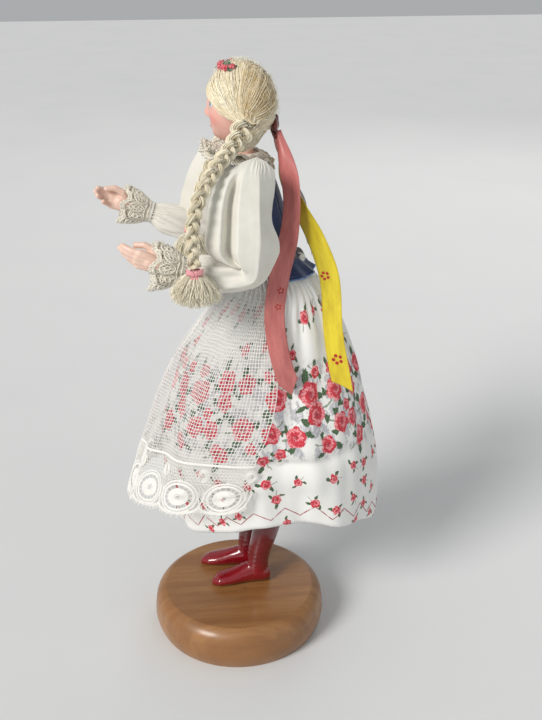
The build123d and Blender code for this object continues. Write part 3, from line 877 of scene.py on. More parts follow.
def lace_threads(length, tall, repeat):
    """Flat threads of the broad border in three weights: v is 0 at its top edge and grows downwards."""
    fine, firm, heavy = [], [], []
    count = max(1, round(length / repeat))
    wide = length / count
    w, s = wide / 22, tall / 29.0
    centres = (np.arange(count) + 0.5) * wide
    middle = 18.6 * s
    arch_bands = [(u, middle, 9.9 * w, 9.2 * s) for u in centres]
    for row in slanted_mesh(length, tall * 0.84, 1.5):
        fine += keep_outside(row, arch_bands)
    for v in np.arange(0.9, tall * 0.4, 1.7):
        fine += keep_outside(level(length, v, 400), arch_bands)
    for u in centres:
        # A solid oval medallion with a slot, held by spokes in an open ring
        for a in np.arange(5.3, 1.7, -0.42):
            heavy.append(ring(u, middle, a * w, a * 0.84 * s))
        heavy.append(ring(u, middle, 1.5 * w, 0.75 * s))
        firm += spokes(u, middle, (5.3 * w, 4.5 * s), (7.5 * w, 6.5 * s), 16)
        for a in (7.5, 7.9, 8.3, 9.4, 9.9):
            heavy.append(ring(u, middle, a * w, (a * 0.9 - 0.1) * s))
        firm += spokes(u, middle, (8.3 * w, 7.4 * s), (9.5 * w, 8.6 * s), 34)
        # A spray and a small oval between neighbouring medallions
        gap = u + wide / 2
        for k in range(3):
            heavy.append(ring(gap, 6.4 * s, (2.6 - 0.6 * k) * w, (3.4 - 0.8 * k) * s))
        for lean_to in (-1, 1):
            for k in range(3):
                firm.append([(gap, 23 * s), (gap + lean_to * (0.8 + k * 0.5) * w, (19 - k * 0.8) * s),
                             (gap + lean_to * (0.9 + k * 0.4) * w, (14.0 + k * 0.8) * s)])
        # Scallops with long picots along the bottom
        for k in range(3):
            heavy.append(ring(u, (22.6 + 0.55 * k) * s, wide / 2, 4.2 * s, math.pi, 0, 33))
        firm += picots(u, 23.8 * s + 0.9, wide / 2, 4.2 * s, 12, 1.0, 0.55)
    heavy += [level(length, v) for v in (0.0, 0.4, 0.8)]
    return fine, firm, heavy


def frill_threads(length, tall, repeat):
    """Flat threads of a narrow gathered lace: a header, an open mesh, small flowers and a picot edge."""
    fine, firm, heavy = [], [], []
    count = max(1, round(length / repeat))
    wide = length / count
    centres = (np.arange(count) + 0.5) * wide
    blooms = [(u, tall * 0.52, tall * 0.26, tall * 0.25) for u in centres]
    for row in slanted_mesh(length, tall * 0.82, 1.35, 0.7):
        fine += keep_outside(row, blooms)
    for u, v, a, b in blooms:
        heavy.append(ring(u, v, a, b))
        heavy.append(ring(u, v, a * 0.35, b * 0.35))
        for turn in np.arange(0, TAU, TAU / 6):
            petal = (u + math.cos(turn) * a * 0.64, v + math.sin(turn) * b * 0.64)
            firm.append(ring(*petal, a * 0.27, b * 0.27, 0, TAU, 13))
    for u in centres:
        for k in range(2):
            heavy.append(ring(u, tall * 0.80 + 0.45 * k, wide / 2, tall * 0.12, math.pi, 0, 25))
        firm += picots(u, tall * 0.80 + 1.3, wide / 2, tall * 0.12, 7, 0.8, 0.5)
    heavy += [level(length, v) for v in (0.0, 0.5, 1.0, tall * 0.22)]
    return fine, firm, heavy


def lace_mesh(threads, place, length, tall, repeat, weights, centre):
    """Lace threads laid onto a surface: place(u, v, out) gives its points."""
    parts = []
    draw = np.random.default_rng(3)
    for weight, rows, lift in zip(weights, threads(length, tall, repeat), (0.0, 0.08, 0.14)):
        for long in (True, False):
            chosen = [r for r in rows if (len(r) > 50) == long]
            if not chosen:
                continue
            count = 420 if long else max(5, max(len(r) for r in chosen) * 2 // 3)
            flat = np.array([even_steps(row, count) for row in chosen])
            flat = flat + draw.normal(0, 0.035, flat.shape)
            parts.append(tubes(place(flat[..., 0], flat[..., 1], lift), weight, 4, centre=centre))
    return join(parts)


net_white = speckled(
    "net_white", (0.82, 0.81, 0.78), (0.92, 0.91, 0.88), (260.0, 3.0), (0.04, 5200.0, 1.0), 0.75, Sheen_Weight=0.3
)
net = piece("apron_net_threads", *apron_net(), "stand", net_white, "net_white")
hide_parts("apron_net")
lace_white = thread_material("white_lace", (0.80, 0.785, 0.73), (0.93, 0.92, 0.88), 0.7)
LACE_TALL = LACE_TOP - LACE_BOTTOM


def on_lace(u, v, out):
    """The border hangs less deep towards the apron's sides."""
    share = u / APRON_WIDE * 2 - 1
    return on_apron(u, LACE_TOP - v * (1 - 0.22 * share**2), out)


laid = lace_mesh(lace_threads, on_lace, APRON_WIDE, LACE_TALL, 19.5, (0.12, 0.18, 0.25), (-7, 18, None))
lace = piece("apron_lace_threads", *laid, "stand", lace_white, "white_lace")
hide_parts("apron_lace")


# ---------------------------------------------------------------- the head
HEAD_RADII = np.array([11.2, 12.6, 15.6])
HAIR_CENTRE = HEAD_CENTRE + np.array([0, 0.6, 0.6])
HAIR_RADII = HEAD_RADII + np.array([1.9, 1.4, 1.0])
HAIR_MIDDLE = (-7, 5, 249)
# How many hairs there are: on each half of the head, astray, behind each ear, in each strand and in each tuft
LOCKS, STRAYS, NAPE_HAIRS, BRAID_FIBRES, TUFT_HAIRS = 1500, 420, 520, 64, 1050


def doll_skin(name, dark, light):
    under = {"Subsurface_Weight": 0.18, "Subsurface_Radius": (1.0, 0.35, 0.2), "Subsurface_Scale": 1.6 * MM}
    coat = {"Coat_Weight": 0.12, "Coat_Roughness": 0.3}
    return speckled(name, dark, light, (170.0, 4.0, 0.6), (0.03, 1500.0, 3.0), 0.42, **under, **coat)


def face_paint():
    """Skin with painted cheeks, lips, eyes and brows; the cloth attribute is the place on the head."""
    under = {"Subsurface_Weight": 0.2, "Subsurface_Radius": (1.0, 0.35, 0.2), "Subsurface_Scale": 1.6 * MM}
    skin = Skin("face_paint", roughness=0.38, Coat_Weight=0.15, Coat_Roughness=0.25, **under)
    at = skin.place("cloth")
    x, y, z = skin.parts(at)
    x = abs(x)
    front = skin.fade(y, -7.0, -5.5)

    def spot(cx, cz, wide, tall, soft_from, soft_to):
        far = skin.math("SQRT", ((x - cx) * (1 / wide)) ** 2 + ((z - cz) * (1 / tall)) ** 2)
        return skin.fade(far, soft_from, soft_to) * front

    # Skin, cheeks, chin, lips, brows, lashes, the white of the eye, iris, pupil and a painted highlight in it
    blotch = skin.noise(at, 0.25, 4.0, 0.6)
    colour = skin.mix(blotch, (0.76, 0.40, 0.33), (0.84, 0.50, 0.42))
    colour = skin.mix(spot(5.8, -4.6, 4.4, 3.6, 0.1, 1.0) * 0.75, colour, (0.78, 0.24, 0.20))
    colour = skin.mix(spot(0, -3.4, 1.7, 1.5, 0.2, 1.0) * 0.35, colour, (0.80, 0.30, 0.26))
    colour = skin.mix(spot(0, -7.6, 2.1, 1.05, 0.75, 1.0), colour, (0.60, 0.09, 0.09))
    arch = (x - 4.2) ** 2 * -0.11 + 4.5
    brow = skin.fade(abs(z - arch), 0.2, 0.42) * spot(4.3, 4.2, 2.5, 2.5, 0.8, 1.0)
    colour = skin.mix(brow * 0.75, colour, (0.30, 0.17, 0.07))
    colour = skin.mix(spot(4.3, 0.9, 2.05, 1.12, 0.97, 1.08), colour, (0.06, 0.025, 0.015))
    colour = skin.mix(spot(4.3, 0.75, 1.85, 0.92, 0.9, 1.0), colour, (0.86, 0.85, 0.82))
    iris = spot(4.25, 0.9, 0.92, 0.92, 0.88, 1.0) * spot(4.3, 0.75, 1.85, 0.92, 0.9, 1.0)
    colour = skin.mix(iris, colour, (0.08, 0.19, 0.34))
    colour = skin.mix(spot(4.25, 0.9, 0.45, 0.45, 0.8, 1.0), colour, (0.01, 0.01, 0.012))
    # A painted highlight: a small white spot in the eye.
    colour = skin.mix(spot(4.5, 1.2, 0.2, 0.2, 0.7, 1.0), colour, (0.95, 0.95, 0.95))
    skin.set("Base Color", colour)
    skin.bump(skin.noise(at, 1.4, 3.0), 0.03)
    return skin.made


def swell(local, centre, spread, push, way=None):
    """Pushes points near centre outwards, or along way."""
    near = np.exp(-(((local - np.array(centre)) / np.array(spread)) ** 2).sum(-1))
    toward = unit(local) if way is None else np.array(way, float)
    return near[..., None] * toward * push


# How the face is moulded: where, how widely, how far and which way. A row off the middle is mirrored
FEATURES = [
    ((0, -9.5, -11.6), (5.5, 5, 3.6), 1.9, (0, -1, -0.15)),
    ((0, -9.0, -12.6), (2.6, 4, 2.2), 0.7, (0, -1, 0)),
    ((6.2, -9.5, -4.6), (3.6, 4, 3.6), 0.75, None),
    ((4.3, -11.3, 1.0), (2.5, 3, 1.9), -0.95, None),
    ((4.3, -11.3, 0.8), (1.7, 3, 1.1), 0.65, None),
    ((0, -12.5, 5.2), (6.5, 4, 2.6), 0.35, None),
    ((0, -12.4, 0.8), (1.1, 4, 3.2), 0.9, (0, -1, 0)),
    ((0, -12.4, -2.9), (1.25, 4, 1.7), 1.7, (0, -1, 0.1)),
    ((0.95, -12.2, -3.9), (0.75, 4, 0.7), 0.75, (0.3, -1, 0)),
    ((0, -11.8, -6.9), (1.9, 4, 0.65), 0.75, (0, -1, 0)),
    ((0, -11.3, -8.35), (1.6, 4, 0.7), 0.8, (0, -1, 0)),
    ((0, -11.5, -7.62), (2.0, 4, 0.24), -0.45, (0, -1, 0)),
    ((0, -11.0, -9.9), (2.2, 4, 0.8), -0.35, (0, -1, 0)),
]


def face():
    """The head, with its columns closer together towards the face."""
    rows, columns = 220, 260
    s = np.linspace(-1, 1, columns + 1)
    azimuth = (s * (0.55 + 0.45 * s**2) * math.pi)[None, :-1]
    tilt = np.linspace(-math.pi / 2 + 0.02, math.pi / 2 - 0.02, rows)[:, None]
    rest = facing(azimuth, tilt) * HEAD_RADII
    local = rest
    for centre, spread, push, toward in FEATURES:
        for mirror in ([1, 1, 1], [-1, 1, 1]) if centre[0] else ([1, 1, 1],):
            aim = None if toward is None else np.multiply(toward, mirror)
            local = local + swell(rest, np.multiply(centre, mirror), spread, push, aim)
    points = turned(local + HEAD_CENTRE)
    faces = grid_faces(rows, columns, closed=True)
    made = piece("head_face", points, faces, "head", face_paint(), "doll_skin", local)
    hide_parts("head")


def hair_material():
    skin = Skin("blond_hair", roughness=0.42, Sheen_Weight=0.15, Anisotropic=0.4)
    tone, gold, _ = skin.parts(skin.place("paint"))
    at = skin.place()
    streak = skin.noise(at, 520.0, 2.0, 0.6)
    body = skin.mix(tone, (0.86, 0.74, 0.48), (0.98, 0.93, 0.77))
    body = skin.mix(gold * 0.8, body, (0.52, 0.34, 0.11))
    body = skin.mix(skin.band(streak, 0.35, 0.7, 0.0, 0.35), body, (0.93, 0.86, 0.70))
    skin.set("Base Color", body)
    skin.bump(skin.noise(at, 3500.0, 2.0), 0.02)
    return skin.made


def great_arc(start, end, share):
    """Directions along the great circle between unit vectors."""
    dot = np.clip((start * end).sum(-1), -1, 1)
    angle = np.arccos(dot)[..., None]
    share = share[None, :]
    a = np.sin((1 - share) * angle) / np.sin(angle)
    b = np.sin(share * angle) / np.sin(angle)
    return a[..., None] * start[:, None] + b[..., None] * end[:, None]


# The middle of each plait, from its root down
BRAIDS = {
    "left": (
        (7.0, 5.5, 243.5), (12, -0.4, 236.6), (21, -7.7, 230.5), (25.8, -13.3, 224.0), (29.5, -17.4, 215.5),
        (31.5, -19.6, 205.0), (32, -18.6, 193.6),
    ),
    "right": (
        (-20.6, 5, 243.5), (-22.4, 0.2, 237.0), (-21.5, -3.6, 229.5), (-20.2, -7.0, 221.0), (-19.4, -11.2, 212.3),
        (-19.4, -14.0, 203.5), (-18.6, -15.6, 194.0),
    ),
}


def haired(way):
    """How far inside the hair line a direction from the head's middle lies."""
    return way @ np.array([0.0, 0.741, 0.589]) + np.abs(way[:, 0]) * 0.186


def hairs(name, body, material, paths, radii, sides, centre, tone):
    """Hairs as one piece, each with its own tone."""
    points, faces = tubes(paths, radii, sides, centre=centre)
    paint = np.repeat(tone, np.shape(paths)[1] * sides, axis=0)
    return piece(name, points, faces, body, material, "blond_hair", paint=paint)


def hair_locks(material):
    """Strands combed from the parting down both sides to the plaits, and a few that stray."""
    draw = np.random.default_rng(5)
    share = np.linspace(0, 1, 17)
    groups, tones = [], []
    count = LOCKS
    for name, side in SIDES.items():
        over = np.sort(draw.uniform(0, 1, count))
        # Over the head from the forehead (0) to the nape (1)
        lift = np.radians(27 + over * 181 + draw.normal(0, 1.5, count))
        start = unit(points_of(side * 0.02, -np.cos(lift), np.sin(lift)))
        end = unit(np.array([side * 0.95, 0.04, -0.30]) + draw.normal(0, 0.05, (count, 3)))
        path = great_arc(start, np.broadcast_to(end, start.shape), share)
        curls = share[None] * draw.uniform(9, 15, (count, 1))
        wave = np.sin(curls + over[:, None] * 60 + draw.uniform(0, 1.0, (count, 1)))
        arch = np.sin(share * math.pi)
        lock = np.sin(over * 95 + side)[:, None] * 0.35 * arch
        height = draw.uniform(-0.7, 0.65, (count, 1)) + lock + 0.16 * wave + 0.55 * arch
        skip = 0.03 * wave * arch
        path = unit(path + skip[..., None] * np.array([0, 1, 0.4]))
        points = HAIR_CENTRE + path * (HAIR_RADII - 0.2) + path * height[..., None]
        angle, far = draw.uniform(0, TAU, count), np.sqrt(draw.uniform(0, 1, count)) * 3.4
        goal = points_of(np.cos(angle) * far * 0.75, np.sin(angle) * far, 0.0) + BRAIDS[name][0]
        gather = ease(share, 0.72, 1.0)[None, :, None]
        groups.append(turned(points) * (1 - gather) + goal[:, None] * gather)
        gold = ease(over, 0.25, 0.5) * (1 - ease(over, 0.75, 0.95))
        pale = np.clip(draw.normal(0.5, 0.24, count), 0, 1)
        tones.append(points_of(pale, np.clip(gold * 0.8 + draw.normal(0, 0.2, count), 0, 1), over))
    paths, tone = np.concatenate(groups), np.concatenate(tones)
    fall = draw.uniform(0.16, 0.27, (len(paths), 1)) * (1 - 0.35 * share[None])
    made = hairs("hair_locks", "head", material, paths, fall, 4, HAIR_MIDDLE, tone)
    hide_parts("hair")
    # Loose hairs that stand off the head
    count = STRAYS
    lift, spin = draw.uniform(-0.2, 1.5, count), draw.uniform(0, TAU, count)
    way = facing(spin, lift)
    way = way[haired(way) > -0.02]
    count = len(way)
    drift = unit(np.cross(way, draw.normal(size=(count, 3)))) * draw.uniform(0.1, 0.42, (count, 1))
    share = np.linspace(0, 1, 9)
    arc = unit(way[:, None] + drift[:, None] * share[None, :, None])
    stand = 0.4 + draw.uniform(0.3, 1.9, (count, 1)) * np.sin(share * math.pi * 0.9)[None]
    stray = turned(HAIR_CENTRE + arc * HAIR_RADII + arc * stand[..., None])
    hairs("hair_strays", "head", material, stray, 0.055, 3, HAIR_MIDDLE, np.tile((0.9, 0.0, 0.0), (count, 1)))
    # The cap under the strands, toned darker gold than most strands: painted shade beneath the hair
    rows, columns = 80, 120
    azimuth = np.linspace(0, TAU, columns, endpoint=False)[None]
    tilt = np.linspace(-1.2, math.pi / 2 - 0.03, rows)[:, None]
    way = facing(azimuth, tilt).reshape(-1, 3)
    faces = grid_faces(rows, columns, closed=True)
    faces = faces[(haired(way) > 0.0)[faces].all(axis=1)]
    streaks = soft_noise(way * 30, 0.5, 9) * 0.15
    points = turned(HAIR_CENTRE + way * (HAIR_RADII - 0.7) + way * streaks[:, None])
    # Low pale and high gold give the cap its darker tone: painted shade under the strands.
    tone = np.tile((0.25, 0.6, 0.0), (len(points), 1))
    cap = piece("hair_cap", points, faces, "head", material, "blond_hair", paint=tone)
    thicken(cap, 0.8)


def nape_hair(side, material):
    """Strands swept from the nape, round below the ear, into the top of the plait."""
    draw = np.random.default_rng(41 if side == "left" else 42)
    sign, count = SIDES[side], NAPE_HAIRS
    azimuth = np.radians(draw.uniform(95, 178, count)) * sign
    tilt = np.radians(draw.uniform(-42, 6, count))
    start = turned(HAIR_CENTRE + facing(azimuth, tilt) * (HAIR_RADII - draw.uniform(0.0, 1.2, (count, 1))))
    line = resample(BRAIDS[side], 110)
    at = line[draw.integers(7, 20, count)]
    end = at + draw.normal(0, 1.0, (count, 3))
    sweep = start * 0.55 + end * 0.45
    sweep[:, 2] = np.minimum(start[:, 2], end[:, 2]) - draw.uniform(0.5, 6.5, count)
    sweep[:, 0] += sign * draw.uniform(0.5, 2.5, count)
    share = np.linspace(0, 1, 15)[None, :, None]
    paths = (1 - share) ** 2 * start[:, None] + 2 * share * (1 - share) * sweep[:, None] + share**2 * end[:, None]
    paths = paths + draw.normal(0, 0.05, paths.shape)
    tone = points_of(draw.uniform(0.3, 1, count), draw.uniform(0.0, 0.5, count), 0.0)
    hairs(f"{side}_nape_hair", "head", material, paths, 0.19, 4, (-7, 5, 240), tone)


def braid(side, material):
    """A three-strand plait of fine hairs, bound and then loose at the end."""
    draw = np.random.default_rng(31 if side == "left" else 32)
    steps = 110
    line = resample(BRAIDS[side], steps)
    way = unit(np.gradient(line, axis=0))
    across = unit(np.cross(way, [SIDES[side], 0.25, 0.0]))
    over = np.cross(across, way)
    t = np.linspace(0, 1, steps)
    turns = distance_along(line)[-1] / 15.0
    wide = 2.35 - 0.55 * t + 1.5 * (1 - ease(t, 0.0, 0.22))
    fibres, tones = [], []
    for strand in range(3):
        phase = TAU * (turns * t + strand / 3)
        a, b = wide * np.sin(phase), wide * 0.62 * np.sin(2 * phase)
        fat = (1.75 - 0.4 * t + 0.9 * (1 - ease(t, 0.0, 0.22))) * (0.84 + 0.16 * np.cos(2 * phase))
        for _ in range(BRAID_FIBRES):
            angle, far = draw.uniform(0, TAU), math.sqrt(draw.uniform(0.1, 1))
            spin = angle + 1.2 * t * turns
            messy = 0.12 * np.sin(t * draw.uniform(10, 40) + draw.uniform(0, TAU))
            x = a + np.cos(spin) * far * fat * 0.95 + messy
            y = b + np.sin(spin) * far * fat * 0.8 + messy
            fibres.append(line + across * x[:, None] + over * y[:, None])
            # Fibres nearer a strand's middle get more of the darker gold: painted shade inside the plait; the rest of
            # each tone is random.
            tones.append((draw.uniform(0.35, 1.0), max(0, 0.55 - far) + draw.uniform(0, 0.25), 0))
    middle = (*line[steps // 2][:2], None)
    made = hairs(f"{side}_braid_hair", "head", material, np.array(fibres), 0.2, 3, middle, np.array(tones))
    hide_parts(f"{side}_braid")
    bend_with_head(made)
    # The loose end
    low, on = line[-1], way[-1]
    draw = np.random.default_rng(77)
    count, share = TUFT_HAIRS, np.linspace(0, 1, 12)
    tie = low + on * 1.6
    angle, far = draw.uniform(0, TAU, count), np.sqrt(draw.uniform(0, 1, count))
    begin = tie + np.outer(np.cos(angle) * far * 1.5, across[-1]) + np.outer(np.sin(angle) * far * 1.3, over[-1])
    reach = draw.uniform(10.5, 16.5, count) * (1 - 0.25 * far)
    deep = 12.0 if side == "left" else 7.5
    fan = points_of(np.sin(angle) * far * 5.6, np.cos(angle) * far * deep, -reach)
    curl = draw.normal(0, 1.0, (count, 3)) * [0.9, 1.2, 0.6]
    s = share[None, :, None]
    bulge = np.sin(share * math.pi)[None, :, None]
    paths = begin[:, None] + fan[:, None] * np.concatenate([np.sqrt(s), np.sqrt(s), s], -1)
    paths = paths + curl[:, None] * bulge * 0.6 + draw.normal(0, 0.30, (count, 12, 3)) * s
    tone = points_of(draw.uniform(0.65, 1, count), draw.uniform(0, 0.12, count), 0.0)
    tuft = hairs(f"{side}_tuft_hair", "stand", material, paths, 0.13, 3, (*low[:2], None), tone)
    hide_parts(f"{side}_tuft")
    return low, on, across[-1], over[-1]


def bend_with_head(made):
    """Takes the piece off its body, as bend does."""
    bend(made)


def ribbon_strip(line, across, width, count_across=7, cup=0.0):
    """Points and quads of a band of cloth along a line, with its flat coordinates."""
    across = unit(np.broadcast_to(np.asarray(across, float), line.shape))
    share = np.linspace(-0.5, 0.5, count_across)
    face_way = unit(np.cross(unit(np.gradient(line, axis=0)), across))
    spread = share[None] * np.reshape(width, (-1, 1))
    points = line[:, None] + across[:, None] * spread[..., None]
    points = points + face_way[:, None] * (cup * (share * 2) ** 2)[None, :, None]
    return points, grid_faces(len(line), count_across), on_cloth(spread, distance_along(line)[:, None])


def strips_piece(name, strips, body, material, slot, thickness, offset=0.0):
    """Bands of cloth as one piece."""
    points, faces = join([(points.reshape(-1, 3), faces) for points, faces, _ in strips])
    flat = np.concatenate([flat.reshape(-1, 3) for *_, flat in strips])
    made = piece(name, points, faces, body, material, slot, flat)
    thicken(made, thickness, offset)
    return made


def hoop(a, b, turn):
    """Offsets round a circle whose radii are the lengths of a and b."""
    return np.outer(np.cos(turn), a) + np.outer(np.sin(turn), b)


def satin(name, colour, shade, dots=()):
    """Woven satin with a fine rib, a paler sheen across it and, where given, painted blossoms of five dots."""
    skin = Skin(name, roughness=0.38, Sheen_Weight=0.35, Sheen_Roughness=0.35)
    flat = skin.place("cloth")
    x, y, _ = skin.parts(flat)
    tone = skin.noise(flat, 1.0, 3.0, 0.6, stretch=(0.25, 0.06, 1.0))
    body = skin.mix(skin.band(tone, 0.3, 0.7), colour, shade)
    thread = skin.noise(flat, 1.0, 1.0, 0.5, stretch=(4.0, 0.3, 1.0))
    body = skin.mix(skin.band(thread, 0.4, 0.8, 0.0, 0.3), body, shade)
    body = skin.mix(skin.band(abs(x), 3.7, 4.1, 0.0, 0.35), body, shade)
    for u, v, size, paint in dots:
        away = skin.vector("SUBTRACT", flat, (u, v, 0))
        spot_x, spot_y, _ = skin.parts(away)
        turn = skin.math("ARCTAN2", spot_y, spot_x) * (5 / TAU)
        wedge = (skin.math("FRACT", turn + 10.0) - 0.5) * (TAU / 5)
        far = skin.length(away)
        along_x = skin.math("COSINE", wedge) * far - size * 0.68
        along_y = skin.math("SINE", wedge) * far
        near = skin.math("SQRT", along_x**2 + along_y**2)
        body = skin.mix(skin.fade(near, size * 0.28, size * 0.36), body, paint)
    skin.set("Base Color", body)
    skin.bump(skin.wave(y, 0.35), 0.02, 0.6)
    return skin.made


def bow(name, at, front, size, material, slot):
    """A small tied bow on the standing body: two loops, two tails and a knot."""
    front = unit(np.asarray(front, float))
    side = unit(np.cross([0, 0, 1.0], front))
    up = np.cross(front, side)
    turn, drop = np.linspace(-0.15 * math.pi, 1.15 * math.pi, 34), np.linspace(0, 1, 14)
    strips = []
    for lean in (-1, 1):
        reach = lean * size * (0.15 + 0.95 * np.sin(turn * 0.5).clip(0)) * np.abs(np.sin(turn)) ** 0.5
        line = at + np.outer(reach, side) + hoop(front * size * 0.34, up * size * 0.22, turn)
        strips.append(ribbon_strip(line, up, size * (0.24 + 0.46 * np.sin(turn).clip(0))))
        tail = np.outer(lean * size * 0.5 * drop**0.8, side) + np.outer(size * 0.2 * np.sin(drop * 5), front)
        tail = at + tail - np.outer(size * 1.25 * drop, up)
        strips.append(ribbon_strip(tail, side + up * 0.3 * lean, size * 0.5))
    knot = at + hoop(front * size * 0.30, up * size * 0.30, np.linspace(0, TAU, 22))
    strips.append(ribbon_strip(knot, side, size * 0.42, cup=-0.08 * size))
    strips_piece(name, strips, "stand", material, slot, 0.14)


face()
blond = hair_material()
hair_locks(blond)
satin_rose = satin("satin_rose", (0.84, 0.40, 0.42), (0.64, 0.18, 0.20))
for side, sign in SIDES.items():
    low, on, across, over = braid(side, blond)
    nape_hair(side, blond)
    front = np.array([sign, -0.1, 0.0])
    bow(f"{side}_tie_bow", low + on * 1.6 + front * 3.0, front, 3.7, satin_rose, "satin_rose")
    line = low + on * 2.0 + hoop(across * 2.0, over * 1.7, np.linspace(0, TAU, 26))
    band = strips_piece(f"{side}_tie_band", [ribbon_strip(line, on, 2.2)], "stand", satin_rose, "satin_rose", 0.2, 1.0)
    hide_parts(f"{side}_braid_tie")


# ---------------------------------------------------------------- hands, sleeves and cuffs
def capsule(start, end, first, last, around=14):
    """A round bar between two points, with domed ends."""
    start, end = np.asarray(start, float), np.asarray(end, float)
    way = unit(end - start)
    side = unit(np.cross(way, [0.31, 0.2, 0.93]))
    over = np.cross(way, side)
    rings = []
    for at, size, low, high in ((start, first, -math.pi / 2 + 0.25, 0), (end, last, 0, math.pi / 2 - 0.25)):
        for t in np.linspace(low, high, 5):
            rings.append((at + way * math.sin(t) * size, side * math.cos(t) * size, over * math.cos(t) * size))
    return tube_skin(rings, around)


def hand(side, material):
    """A moulded hand, thumb up, with its fingers bent towards the palm."""
    _, _, wrist, tips = ARMS[side]
    forward = unit(tips - wrist)
    inward = np.array([-SIDES[side], 0, 0])
    inward = unit(inward - forward * (inward @ forward))
    up = np.cross(inward, forward)
    up = up * np.sign(up[2])
    # The palms face each other and tip up a little
    roll = math.radians(15)
    inward, up = inward * math.cos(roll) + up * math.sin(roll), up * math.cos(roll) - inward * math.sin(roll)

    def spot(ahead, high, deep):
        return wrist + forward * ahead + up * high + inward * deep

    bars = [
        capsule(spot(-9, 0, 0), spot(1.5, 0, 0), 2.6, 2.5),
        capsule(spot(1.5, 0.4, 0), spot(6.0, 0.3, 0.2), 2.7, 3.0),
    ]
    # Height, root, size and bone lengths of each finger, and how far it bends at each joint
    for high, root, size, lengths, curl in (
        (2.85, 9.2, 1.45, (3.4, 2.7, 1.9), 8),
        (0.95, 9.7, 1.46, (3.6, 2.9, 2.0), 10),
        (-0.90, 9.4, 1.42, (3.4, 2.7, 1.9), 13),
        (-2.60, 8.5, 1.26, (2.7, 2.1, 1.6), 17),
    ):
        longer, tighter = (1.6, 1.0) if side == "left" else (0.9, 1.55)
        curl *= tighter
        here = spot(root + longer, high, 0.1)
        bars.append(capsule(spot(3.0, high * 0.6, 0.0), here, 2.1, size * 1.3))
        angle = math.radians(curl)
        for k, length in enumerate(lengths):
            way = forward * math.cos(angle) + inward * math.sin(angle) - up * 0.02 * high
            after = here + unit(way) * length
            bars.append(capsule(here, after, size * (1 - 0.05 * k), size * (0.96 - 0.08 * k)))
            here = after
            angle += math.radians(curl + 6)
    here = spot(2.8, 2.3, 1.2)
    thumb = (((0.80, 0.50, 0.42), 4.4, 1.9), ((0.98, 0.12, 0.22), 3.9, 1.6), ((0.92, -0.40, 0.10), 3.6, 1.4))
    for way, length, size in thumb:
        after = here + unit(forward * way[0] + up * way[1] + inward * way[2]) * length
        bars.append(capsule(here, after, size, size * 0.9))
        here = after
    made = moulded(f"{side}_hand_moulded", bars, f"{side}_forearm", material, 0.27, 0.55, 5)
    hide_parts(f"{side}_hand")


# Distance down each sleeve, and its radius across the arm, ahead of it and behind it
SLEEVE = [
    (0.0, 0.05, 0.05, 0.05), (1.0, 2.4, 2.6, 2.2), (3.5, 5.2, 7.2, 5.0), (8, 7.0, 9.4, 6.6), (19, 9.2, 12.0, 8.2),
    (32, 9.8, 12.0, 8.0), (42, 9.6, 8.6, 6.6), (47, 9.4, 7.2, 6.0), (52, 9.0, 7.2, 6.2), (58, 8.3, 7.4, 6.8),
    (64, 7.5, 6.8, 7.0), (69, 6.2, 5.6, 6.3), (72.5, 4.6, 4.3, 4.6), (76, 4.3, 4.2, 4.3),
]
# The starched upper sleeve's section: the turn in degrees at each corner, then its place outward and ahead of the arm
SLEEVE_CORNERS = [
    (-16, 10.9, -0.2), (20, 10.5, 4.6), (45, 10.5, 8.8), (57, 0.6, 10.8), (70, 8.8, 14.6), (92, 2.0, 20.4),
    (118, -5.5, 15.0), (165, -8.0, 2.0), (235, -5.5, -8.0), (285, 3.5, -10.2),
]
# Distance down the sleeve; size of that section across, ahead and behind; depth of the fold in it
SLEEVE_SCALE = [
    (0, 0.25, 0.16, 0.24, 0), (3.5, 0.56, 0.50, 0.62, 0), (8, 0.78, 0.74, 0.72, 0.3), (13, 0.89, 0.86, 0.70, 0.9),
    (19, 0.96, 0.95, 0.62, 1.0), (26, 1.0, 1.0, 0.60, 1.0), (33, 1.02, 1.03, 0.88, 1.0), (37, 1.02, 1.0, 0.92, 1.0),
    (40, 1.0, 0.84, 0.82, 0.8), (43, 0.98, 0.60, 0.68, 0.5), (47, 0.95, 0.44, 0.60, 0.2), (52, 0.9, 0.38, 0.60, 0),
]
SLEEVE_LONG = 76.0
SLEEVE_SPLIT = 25.0


def sleeve_line(side, count):
    """The sleeve's middle, from the shoulder seam round the elbow to the cuff."""
    shoulder, elbow, wrist, _ = ARMS[side]
    outward = 1.2 * SIDES[side]
    arm = unit(wrist - elbow)
    top = np.array([shoulder[0] + outward, shoulder[1], 232.0])
    near = elbow + np.array([outward, 0.5, 11.0])
    crook = elbow + np.array([outward, -1.5, 1.0])
    past = elbow + arm * 10 + np.array([outward * 0.6, 0, -1.0])
    return resample([top, top * 0.5 + near * 0.5, near, crook, past, wrist - arm * 6], count)


